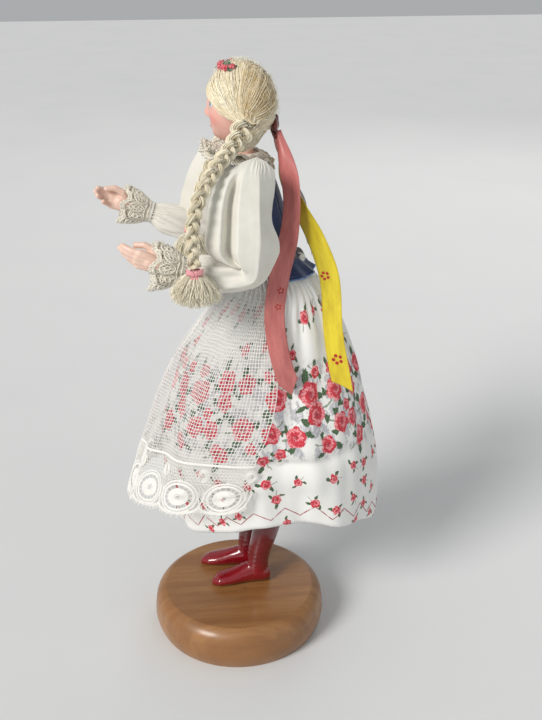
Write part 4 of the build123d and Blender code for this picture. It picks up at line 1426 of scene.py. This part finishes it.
def sleeve(side, material):
    rings, around = 210, 168
    line = sleeve_line(side, rings)
    way = unit(np.gradient(line, axis=0))
    for _ in range(14):
        way[1:-1] = (way[:-2] + way[1:-1] * 2 + way[2:]) / 4
    way = unit(way)
    s = np.linspace(0, SLEEVE_LONG, rings)
    wide, ahead, behind = np.moveaxis(along(SLEEVE, s), -1, 0)
    outward = np.array([SIDES[side], 0, 0])
    across = unit(outward - way * (way @ outward)[:, None])
    before = np.cross(way, across)
    before = before * np.sign((before @ np.array([0, -1.0, 0.6])))[:, None]
    turn = np.arange(around) * TAU / around
    c, d = np.cos(turn)[None], np.sin(turn)[None]
    # turn 0 faces away from the body, a quarter turn on faces ahead of the arm
    deep = np.where(d > 0, ahead[:, None], behind[:, None])
    S = s[:, None]
    seed = 1.0 if side == "left" else 2.3
    mid = ease(S, 6, 20) * (1 - ease(S, 60, 72))
    at_ends = 0.45 * ease(S, 0, 2.2) * hump(S, 4.5) + 0.5 * hump(S - 71, 6.0)
    gather = np.sin(23 * turn + 2 * np.sin(4 * turn + seed))[None] * at_ends
    inner = hump(turn[None] - math.pi / 2, 1.0) * hump(S - 46, 6)
    crush = inner * 0.9 * np.sin(S * 0.95 + 1.2 * np.sin(2 * turn + seed)[None])
    long_folds = np.sin(5 * turn[None] + seed + 0.05 * S) * 0.30 + np.sin(8 * turn[None] - 0.07 * S + 2 * seed) * 0.22
    long_folds = long_folds * mid
    lower = np.sin(7 * turn[None] + 0.16 * S + seed) * 0.6 + np.sin(11 * turn[None] - 0.1 * S) * 0.3
    lower = ease(S, 46, 54) * (1 - ease(S, 66, 74)) * lower
    rumple = soft_noise(points_of(c * 10, d * 10, S), 0.30, 40) * 0.25 * mid
    out = gather + crush + long_folds + lower + rumple
    # Flat starched planes down to the elbow
    corners = np.array(SLEEVE_CORNERS, float)
    turns = np.degrees(turn)
    turns = np.where(turns > 344, turns - 360, turns)

    def section(rows, column):
        """One column of the section, read at every turn: the last corner joins the first."""
        return np.interp(turns, np.append(rows[:, 0], 344), np.append(rows[:, column], rows[0, column]))

    ring_out, ring_ahead = section(corners, 1), section(corners, 2)
    smooth_out = section(np.delete(corners, 3, axis=0), 1)
    for _ in range(2):
        ring_out = (np.roll(ring_out, 1) + 2 * ring_out + np.roll(ring_out, -1)) / 4
        ring_ahead = (np.roll(ring_ahead, 1) + 2 * ring_ahead + np.roll(ring_ahead, -1)) / 4
    across_scale, ahead_scale, behind_scale, fold = np.moveaxis(along(SLEEVE_SCALE, s), -1, 0)[..., None]
    box_out = (smooth_out * (1 - fold) + ring_out * fold) * across_scale
    box_ahead = ring_ahead * np.where(ring_ahead > 0, ahead_scale, behind_scale)
    starch = ease(S, 0.5, 7) * (1 - ease(S, 42, 52))
    small = 0.55 * (rumple + crush) + gather
    local_out = c * (wide[:, None] + out) * (1 - starch) + (box_out + small * c) * starch
    local_ahead = d * (deep + out) * (1 - starch) + (box_ahead + small * d) * starch
    radial = across[:, None] * local_out[..., None] + before[:, None] * local_ahead[..., None]
    points = line[:, None] + radial
    flat = on_cloth(turn[None] * 9.5, S)
    cut = int(np.searchsorted(s, SLEEVE_SPLIT))
    x, upper, lower = ARMS[side][1][0], f"{side}_upper_arm", f"{side}_forearm"
    for part, rows, bodies, start, end, long_flat in (
        ("upper", slice(0, cut + 1), ("stand", upper), (x, 8, 234), (x, 8, 216), 0.024),
        ("lower", slice(cut, rings), (upper, lower), (x, 6, 199), (x, -1, 182), 0.060),
    ):
        faces = grid_faces(len(points[rows]), around, closed=True)
        made = piece(f"{side}_sleeve_{part}", points[rows], faces, bodies[0], material, "blouse_cotton", flat[rows])
        bend(made)
        if part == "upper":
            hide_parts(f"{side}_sleeve")


def frill(name, place, length, tall, weights, centre, body, lining, columns, rows):
    """A row of gathered lace, and the thin cotton behind its upper part."""
    laid = lace_mesh(frill_threads, place, length, tall, 7.4, weights, centre)
    made = piece(name, *laid, body, lace_cream, "white_lace")
    u, v = np.meshgrid(np.linspace(0, length, columns), np.linspace(0, tall * 0.74, rows))
    faces = grid_faces(rows, columns)
    under = piece(f"{name}_lining", lining(u, v), faces, body, tulle, "blouse_cotton", on_cloth(u, v))
    thicken(under, 0.15, 0.0)
    return made


def cuff(side):
    """Two gathered rows of narrow lace round the wrist."""
    _, elbow, wrist, tips = ARMS[side]
    forearm = f"{side}_forearm"
    way = unit(unit(wrist - elbow) + unit(tips - wrist) * 0.6)
    outward = np.array([1.0, 0, 0])
    across = unit(outward - way * (way @ outward))
    over = np.cross(way, across)
    scale = 1.0 if side == "left" else 0.87
    rows = (("lace", 78, 12.5, -8.2, 4.8, 4.3, 10), ("lace_under", 66, 10.5, -6.6, 4.4, 3.0, 8))
    for number, (name, length, tall, begin, foot, flare, flutes) in enumerate(rows):

        def place(u, v, out):
            turn = u / length * TAU
            share = v / tall
            wave = np.sin(flutes * turn + 1.5 * np.sin(3 * turn + number))
            radius = foot + flare * np.sin(np.clip(share, 0, 1.2) * 1.45) + 1.1 * share * wave + out
            radius = (radius * scale)[..., None]
            ahead = begin + tall * (0.96 * share + 0.10 * share * np.sin(flutes * turn * 0.5 + 1))
            round_arm = across * np.cos(turn)[..., None] + over * np.sin(turn)[..., None]
            return wrist + way * ahead[..., None] + round_arm * radius

        made = frill(
            f"{side}_cuff_{name}", place, length, tall, (0.19, 0.24, 0.32), tuple(wrist), forearm,
            lambda u, v: place(u, v, -0.35), 160, 16,
        )
        if number == 0:
            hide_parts(f"{side}_cuff")
    line = wrist - way * 8.2 + hoop(across * 4.5, over * 4.5, np.linspace(0, TAU, 60))
    strips_piece(f"{side}_cuff_band", [ribbon_strip(line, way, 1.8)], forearm, blouse_white, "blouse_cotton", 0.3)


skin_tone = doll_skin("doll_skin", (0.74, 0.42, 0.33), (0.83, 0.53, 0.43))
blouse_white = plain_cloth("blouse_cotton", (0.80, 0.78, 0.71), (0.72, 0.69, 0.61), 0.34, 0.035, 0.8)
hand_tone = doll_skin("hand_skin", (0.78, 0.52, 0.42), (0.86, 0.63, 0.52))
lace_cream = thread_material("cream_lace", (0.80, 0.74, 0.62), (0.92, 0.88, 0.78), 0.7)
tulle = plain_cloth("frill_cotton", (0.86, 0.82, 0.73), (0.76, 0.71, 0.60), 0.5, 0.06, 0.9)
for side in SIDES:
    hand(side, hand_tone)
    sleeve(side, blouse_white)
    cuff(side)
dress("neck_peg", skin_tone)


# ---------------------------------------------------------------- blouse, vest and collar
def round_body(angle, height, out=0.0):
    middle, wide, deep = np.moveaxis(along(BODY, height), -1, 0)
    x = BODY_X + np.sin(angle) * (wide + out)
    y = middle - np.cos(angle) * (deep + out)
    return points_of(x, y, height)


def blouse():
    a, height, _ = wrap(np.arange(180) * TAU / 180, 110, 228.8, 170.0)
    neck = hump(height - 229, 5)
    rumple = 0.15 * soft_noise(points_of(a * 10, height, 0.0), 0.5, 3)
    folds = 0.35 * np.sin(26 * a + np.sin(5 * a)) * neck + 0.22 * np.sin(9 * a + 0.1 * height) + rumple
    garment(
        "blouse_cloth", "blouse", round_body(a, height, 0.75 + folds), blouse_white, "blouse_cotton",
        on_cloth(a * 12, height), 0.25, flat=(0.078, 0.060), held="stretched", rests_on=["torso"],
    )


def navy_cloth():
    skin = Skin("vest_navy", roughness=0.72, Sheen_Weight=0.5, Sheen_Roughness=0.35)
    flat = skin.place("cloth")
    tone = skin.noise(flat, 0.16, 4.0, 0.6)
    nap = skin.noise(flat, 3.0, 2.0, 0.6)
    body = skin.mix(tone, (0.012, 0.024, 0.085), (0.020, 0.040, 0.125))
    body = skin.mix(skin.band(nap, 0.4, 0.75, 0.0, 0.5), body, (0.04, 0.065, 0.17))
    skin.set("Base Color", body)
    weave(skin, flat, 0.4, 0.05)
    return skin.made


def cord_round(edge, radius, twist=2.2, strands=2):
    """A fine twisted trim that follows a closed edge."""
    line = np.concatenate([edge, edge[:1]])[::2]
    fine = resample(line, len(line) * 5 // 2)
    way = unit(np.gradient(fine, axis=0))
    side = unit(np.cross(way, [0.2, 0.1, 1.0]))
    over = np.cross(side, way)
    run = distance_along(fine)
    paths = []
    for k in range(strands):
        phase = run * twist + TAU * k / strands
        paths.append(fine + (side * np.cos(phase)[:, None] + over * np.sin(phase)[:, None]) * radius * 0.6)
    return tubes(np.array(paths), radius * 0.62, 5)


def vest(material, trim):
    angle = np.linspace(-math.pi, math.pi, 241)[:-1]
    d = np.degrees(angle)
    armhole = 15.0 * np.exp(-(((np.abs(d) - 92) / 26) ** 4))
    front = 22.0 * hump(d, 21)
    back = 3.0 * hump(180 - np.abs(d), 30)
    top = 228.3 - armhole - front - back
    a, height, _ = wrap(angle, 90, top, 184.0)
    seams = 0.0
    for at in (0, 45, -45, 180, 135, -135):
        away = (d - at + 180) % 360 - 180
        seams = seams - 0.35 * hump(away, 1.8)
    out = 1.75 + seams + 0.14 * soft_noise(points_of(a * 10, height, 0.0), 0.45, 8)
    garment(
        "vest_cloth", "vest", round_body(a, height, out), material, "vest_navy", on_cloth(a * 13, height), 0.4,
        flat=(0.082, 0.044), area=0.0032, held="stretched", rests_on=["blouse_cloth"],
    )
    piece("vest_trim", *cord_round(round_body(angle, top, 1.85), 0.34), "stand", trim, "vest_navy")


def peplum(material, trim):
    angle = np.linspace(-math.pi, math.pi, 361)[:-1]
    a, height, t = wrap(angle, 34, 184.6, 179.0 - 0.7 * np.abs(np.sin(angle * 6)) ** 0.6)
    flute = 0.65 * np.sin(12 * a + 1.2) * t
    centre_y = 17.7 + 2.3 * t
    wide, deep = 12.6 + 4.9 * t**1.15, 10.4 + 4.9 * t**1.15
    x = BODY_X + np.sin(a) * (wide + flute)
    y = centre_y - np.cos(a) * (deep + flute)
    points = points_of(x, y, height)
    garment(
        "vest_peplum_cloth", "vest_peplum", points, material, "vest_navy", on_cloth(a * 16, 184 - height), 0.4,
        flat=(0.115, 0.010), area=0.0008, held="gathered", rests_on=["waistband"],
    )
    for row, radius in ((33, 0.36), (28, 0.26)):
        edge = points[row] + (points[row] - np.array([BODY_X, 19, 0])) * [0.012, 0.012, 0]
        piece(f"vest_peplum_trim_{row}", *cord_round(edge, radius), "stand", trim, "vest_navy")


def waist():
    """The skirt's gathered band and the apron's tape, tied in a bow at the back."""
    a, height, _ = wrap(np.arange(300) * TAU / 300, 16, 184.0, 180.2)
    bulge = 0.5 * np.sin((184.0 - height) / 3.8 * math.pi)
    pleats = 0.18 * np.sin(60 * a)
    points = round_body(a, height, 1.6 + bulge + pleats)
    flat = on_cloth(a / TAU * SKIRT_AROUND, height)
    garment("waistband_cloth", "waistband", points, rose_cloth, "skirt_print", flat, 0.4)
    turn = np.linspace(0, TAU, 140)
    line = round_body(turn, np.full(140, 182.5) + 0.3 * np.sin(3 * turn), 3.3)
    tape = strips_piece("apron_tape", [ribbon_strip(line, (0, 0, 1), 2.4)], "stand", tape_white, "net_white", 0.3)
    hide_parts("apron_tie")
    bow("apron_bow", np.array([BODY_X, 29.5, 182.5]), (0, 1, 0), 6.0, tape_white, "net_white")


def collar():
    """A standing frill of lace round the neck, in two rows."""
    rows = (("collar_lace", 104, 8.6, 11, 4.6), ("collar_lace_under", 90, 7.4, 9, 0.8))
    for number, (name, length, tall, flutes, rise) in enumerate(rows):

        def place(u, v, out):
            turn = u / length * TAU
            share = v / tall
            wave = np.sin(flutes * turn + 1.3 * np.sin(3 * turn + number))
            front = 0.5 + 0.5 * np.cos(turn)
            grow = 5.8 + (5.4 + 4.8 * front) * share**0.9 + out
            high = 229.6 + (rise - 7.4 * (1 - front)) * share + 1.3 * share * wave - 1.2 * share**2 * (1 - number)
            x = NECK[0] + np.sin(turn) * grow
            y = NECK[1] - 0.6 - np.cos(turn) * (grow + 0.7)
            return points_of(x, y, high)

        made = frill(
            name, place, length, tall, (0.18, 0.23, 0.30), (-7, 6, 224), "stand",
            lambda u, v: place(u, v, 0) - [0, 0, 0.35], 180, 14,
        )
        if number == 0:
            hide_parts("lace_collar")


navy = navy_cloth()
trim_blue = thread_material("trim_blue", (0.10, 0.20, 0.45), (0.22, 0.36, 0.62))
tape_white = plain_cloth("apron_tape_white", (0.82, 0.81, 0.77), (0.70, 0.69, 0.64), 0.3, 0.03)
blouse()
vest(navy, trim_blue)
peplum(navy, trim_blue)
waist()
collar()


# ---------------------------------------------------------------- ribbons, knot and wreath
# Each ribbon: its width, its points from the knot down, and the direction across its width at each
RIBBONS = {
    "yellow": (
        9.0,
        ((-5, 18.3, 238.5), (-2.5, 20.4, 231), (1.5, 22.0, 220), (5, 26.4, 209.5), (8.8, 32.4, 198), (12, 37.8, 183),
         (16, 40.4, 157), (19, 44.4, 132)),
        ((1, 0.1, 0), (1, 0.2, 0), (1, 0.4, 0), (0.9, 0.7, 0), (0.8, 1, 0), (0.7, 1, 0), (0.6, 1, 0), (0.6, 1, 0)),
    ),
    "rose": (
        8.6,
        ((-2, 18.5, 238.5), (3.5, 20.6, 230.5), (7.5, 23.0, 216), (10.5, 22.4, 200.7), (13, 17.6, 182),
         (18.6, 14.8, 166), (23.6, 16.8, 148.3), (25.5, 20.4, 135.7)),
        ((0.7, 1, 0), (0.6, 1, 0), (0.9, 0.8, 0), (0.6, 0.8, 0), (0.1, 1, 0), (-0.1, 1, 0), (-0.1, 1, 0), (-0.1, 1, 0)),
    ),
    "white": (
        6.6,
        ((-6, 18.2, 238.5), (-11, 22.0, 229), (-12, 28, 216), (-12, 32.5, 202), (-12, 34, 190), (-12.5, 35, 184.6)),
        ((1, -0.1, 0), (1, -0.1, 0), (1, 0, 0), (1, 0, 0), (1, 0, 0), (1, 0, 0)),
    ),
    "red": (
        6.0,
        ((-7, 18.0, 238.5), (-17, 20.8, 229), (-20, 26.6, 215), (-21, 32, 203), (-21, 38, 184), (-22, 46, 160)),
        ((1, -0.3, 0), (1, -0.5, 0), (1, -0.4, 0), (1, -0.3, 0), (1, -0.2, 0), (1, -0.5, 0)),
    ),
}


def ribbon(name, material, end_cut):
    """A satin ribbon that hangs from the knot. end_cut is how far its corners hang past its middle."""
    width, route, ways = RIBBONS[name]
    count, wide = 190, 21
    line = resample(route, count)
    heights = np.array([p[2] for p in route])
    across = np.stack([np.interp(-line[:, 2], -heights, [w[k] for w in ways]) for k in range(3)], -1)
    for _ in range(24):
        across[1:-1] = (across[:-2] + across[1:-1] * 2 + across[2:]) / 4
    across = unit(across)
    way = unit(np.gradient(line, axis=0))
    across = unit(across - way * (across * way).sum(-1, keepdims=True))
    out = np.cross(way, across)
    t = np.linspace(0, 1, count)[:, None]
    share = np.linspace(-0.5, 0.5, wide)[None]
    narrow = 0.40 + 0.60 * ease(t, 0.0, 0.20)
    curl = 0.5 * np.sin(t * 9 + len(name)) * (share * 2) ** 2 + 0.35 * np.sin(t * 17 + 2 * share)
    curl = curl + 0.45 * np.sin(share * 5 + 2) * (1 - ease(t, 0, 0.2))
    cut = end_cut(share) * ease(t, 0.9, 1.0)
    points = line[:, None] + across[:, None] * (share * width * narrow)[..., None]
    points = points + out[:, None] * curl[..., None] + way[:, None] * cut[..., None]
    flat = on_cloth(share * width, t * distance_along(line)[-1])
    made = piece(f"ribbon_{name}_satin", points, grid_faces(count, wide), "head", material, f"satin_{name}", flat)
    bend_with_head(made)
    thicken(made, 0.16, 0.0)
    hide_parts(f"ribbon_{name}")


# Each ribbon's satin, its two tones and painted blossoms (across, along, size), and the cut of its end
DOT_RED = (0.42, 0.022, 0.012)
for name, satin_name, colour, shade, dots, end_cut in (
    ("yellow", "satin_yellow", (0.78, 0.64, 0.03), (0.60, 0.45, 0.02), ((0, 101, 2.6), (-1.5, 64, 2.2)),
     lambda share: share * 5.0),
    ("rose", "satin_rose_ribbon", (0.62, 0.20, 0.18), (0.47, 0.13, 0.12), ((1.6, 66.5, 1.5), (1.4, 73.5, 1.4)),
     lambda share: 3.2 * (1 - np.abs(share) * 4)),
    ("white", "satin_white", (0.78, 0.77, 0.74), (0.62, 0.61, 0.60), ((0, 20, 2.2), (0, 34, 2.2)),
     lambda share: share * 3),
    ("red", "satin_red", (0.46, 0.018, 0.02), (0.30, 0.01, 0.012), (), lambda share: -share * 4),
):
    ribbon(name, satin(satin_name, colour, shade, [(*dot, DOT_RED) for dot in dots]), end_cut)


def nape_knot():
    """A flat knot of dark satin, with loops and a few glass beads, whose pale grey is painted highlight for the knot's
    glints.
    """
    material = satin("satin_maroon", (0.16, 0.022, 0.018), (0.09, 0.012, 0.010))
    centre = HEAD_CENTRE + np.array([0, 13.2, -8.6])
    strips = []
    draw = np.random.default_rng(4)
    for n in range(5):
        spin = TAU * n / 5 + 0.4
        aim = np.array([math.cos(spin), 0.25, math.sin(spin) * 1.15])
        turn = np.linspace(0, math.pi, 24)
        line = centre + np.outer(4.6 * np.sin(turn) ** 0.8, aim) + np.outer(np.cos(turn) * 1.3 + 0.7, (0, 1, 0))
        points, *rest = ribbon_strip(line, np.cross(aim, [0, 1.0, 0]), 4.4, 9, cup=0.5)
        strips.append((turned(points), *rest))
    made = strips_piece("nape_knot_satin", strips, "head", material, "satin_maroon", 0.3)
    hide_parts("nape_knot")
    beads = []
    for _ in range(9):
        spin, far = draw.uniform(0, TAU), draw.uniform(0.4, 2.8)
        at = centre + np.array([math.cos(spin) * far, 2.3 - 0.25 * far, math.sin(spin) * far * 1.2])
        beads.append(bud(turned(at), 0.55, np.array([0.2, 1, 0.1]), petals=0))
    # The beads' pale grey stands in for glints on the dark knot: painted highlight.
    glass = speckled(
        "bead_glass_painted_glint", (0.45, 0.45, 0.44), (0.85, 0.85, 0.82), (900.0,), roughness=0.08, Coat_Weight=1.0, Metallic=0.35
    )
    piece("nape_knot_beads", *join(beads), "head", glass, "satin_maroon")


def bud(at, size, way, petals=5):
    """A small ball, or with petals a rosebud whose petals wrap and turn."""
    way = unit(np.asarray(way, float))
    side = unit(np.cross(way, [0.3, 0.1, 1.0]))
    over = np.cross(way, side)
    tilt = np.linspace(0.08, math.pi - 0.08, 26)[:, None]
    spin = np.arange(40)[None] * TAU / 40
    r = size + 0 * tilt * spin
    if petals:
        r = r * (1.0 + 0.16 * np.sin(petals * spin + 5.0 * tilt) + 0.10 * np.sin(2 * petals * spin - 9 * tilt))
        r = r * (1 - 0.45 * hump(tilt, 0.35))
    local = points_of(np.sin(tilt) * np.cos(spin) * r, np.sin(tilt) * np.sin(spin) * r, np.cos(tilt) * r * 0.85)
    points = at + local @ np.array([side, over, way])
    return points.reshape(-1, 3), grid_faces(26, 40, closed=True)


def leaf(at, way, out, size):
    """A pointed leaf with a fold along its middle."""
    way, out = unit(np.asarray(way, float)), unit(np.asarray(out, float))
    out = unit(out - way * (way @ out))
    side = np.cross(way, out)
    t = np.linspace(0.0, 1, 14)[:, None]
    share = np.linspace(-1, 1, 9)[None]
    half = 0.36 * np.sin(np.pi * t**0.8) ** 0.9 + 0.012
    rise = 0.22 * np.abs(share) * half + 0.25 * t * (1 - t) - 0.05 * np.sin(9 * t) * np.abs(share)
    local = points_of(t, share * half, rise) * size
    points = at + local @ np.array([way, side, out])
    return points.reshape(-1, 3), grid_faces(14, 9)


def wreath():
    """Cloth rosebuds and leaves on a wire over the top of the head."""
    draw = np.random.default_rng(14)
    buds, leaves = [], []
    tilt = math.radians(60)

    def on_hair(angle, lift, out):
        way = facing(math.radians(angle), lift)
        return turned(HAIR_CENTRE + way * (HAIR_RADII + out)), turned(HAIR_CENTRE + way * 40) - turned(HAIR_CENTRE)

    for angle in range(-72, 73, 16):
        at, way = on_hair(angle + draw.normal(0, 2), tilt + draw.normal(0, 0.05), 1.0 + draw.uniform(0, 0.5))
        buds.append(bud(at, draw.uniform(1.15, 1.55), unit(way) + draw.normal(0, 0.35, 3)))
    for angle in range(-84, 85, 9):
        at, way = on_hair(angle + draw.normal(0, 2), tilt + draw.normal(0, 0.07), 0.45)
        aim = np.cross(way, [draw.normal(0, 1), draw.normal(0, 1), 1.0]) * draw.choice([-1, 1])
        leaves.append(leaf(at, unit(aim) + unit(way) * 0.4, way, draw.uniform(2.3, 3.3)))
    red = speckled(
        "flower_red", (0.50, 0.03, 0.06), (0.80, 0.22, 0.24), (900.0, 3.0), (0.06, 2600.0, 2.0), 0.6,
        band=(0.35, 0.65), Sheen_Weight=0.4,
    )
    green = speckled(
        "leaf_green", (0.02, 0.10, 0.05), (0.10, 0.22, 0.11), (700.0, 2.0), (0.04, 2600.0, 2.0), 0.55, Sheen_Weight=0.2
    )
    made = piece("wreath_rosebuds", *join(buds), "head", red, "flower_red")
    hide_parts("wreath_flowers")
    made = piece("wreath_leaf_sprays", *join(leaves), "head", green, "leaf_green")
    thicken(made, 0.16, 0.0)
    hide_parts("wreath_leaves")


nape_knot()
wreath()


# ---------------------------------------------------------------- the body under the clothes
def arm_wire(side, material):
    """The wire inside an arm, which bends at the elbow."""
    shoulder, elbow, wrist, _ = ARMS[side]
    up, down = unit(shoulder - elbow), unit(wrist - elbow)
    upper, start, end = f"{side}_upper_arm", elbow + up * 4, elbow + down * 4
    line = resample([elbow + (shoulder - elbow) * 0.85, start, end, elbow + (wrist - elbow) * 0.9], 90)
    bent = tubes([line], 0.6, 12, centre=(0, 0, 0))
    made = piece(f"{side}_arm_wire_bent", *bent, upper, material, "arm_wire")
    bend(made)
    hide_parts(f"{side}_arm_wire")


stuffed = speckled(
    "body_cotton", (0.62, 0.52, 0.42), (0.72, 0.62, 0.52), (90.0, 4.0), (0.06, 2600.0, 2.0), 0.9, Sheen_Weight=0.2
)
bare_wire = speckled("arm_wire", (0.35, 0.34, 0.32), (0.60, 0.58, 0.55), (500.0, 3.0), roughness=0.3, Metallic=1.0)
dress("torso", stuffed)
for side in SIDES:
    for node in ("thigh", "upper_arm", "forearm"):
        dress(f"{side}_{node}", stuffed)
    arm_wire(side, bare_wire)
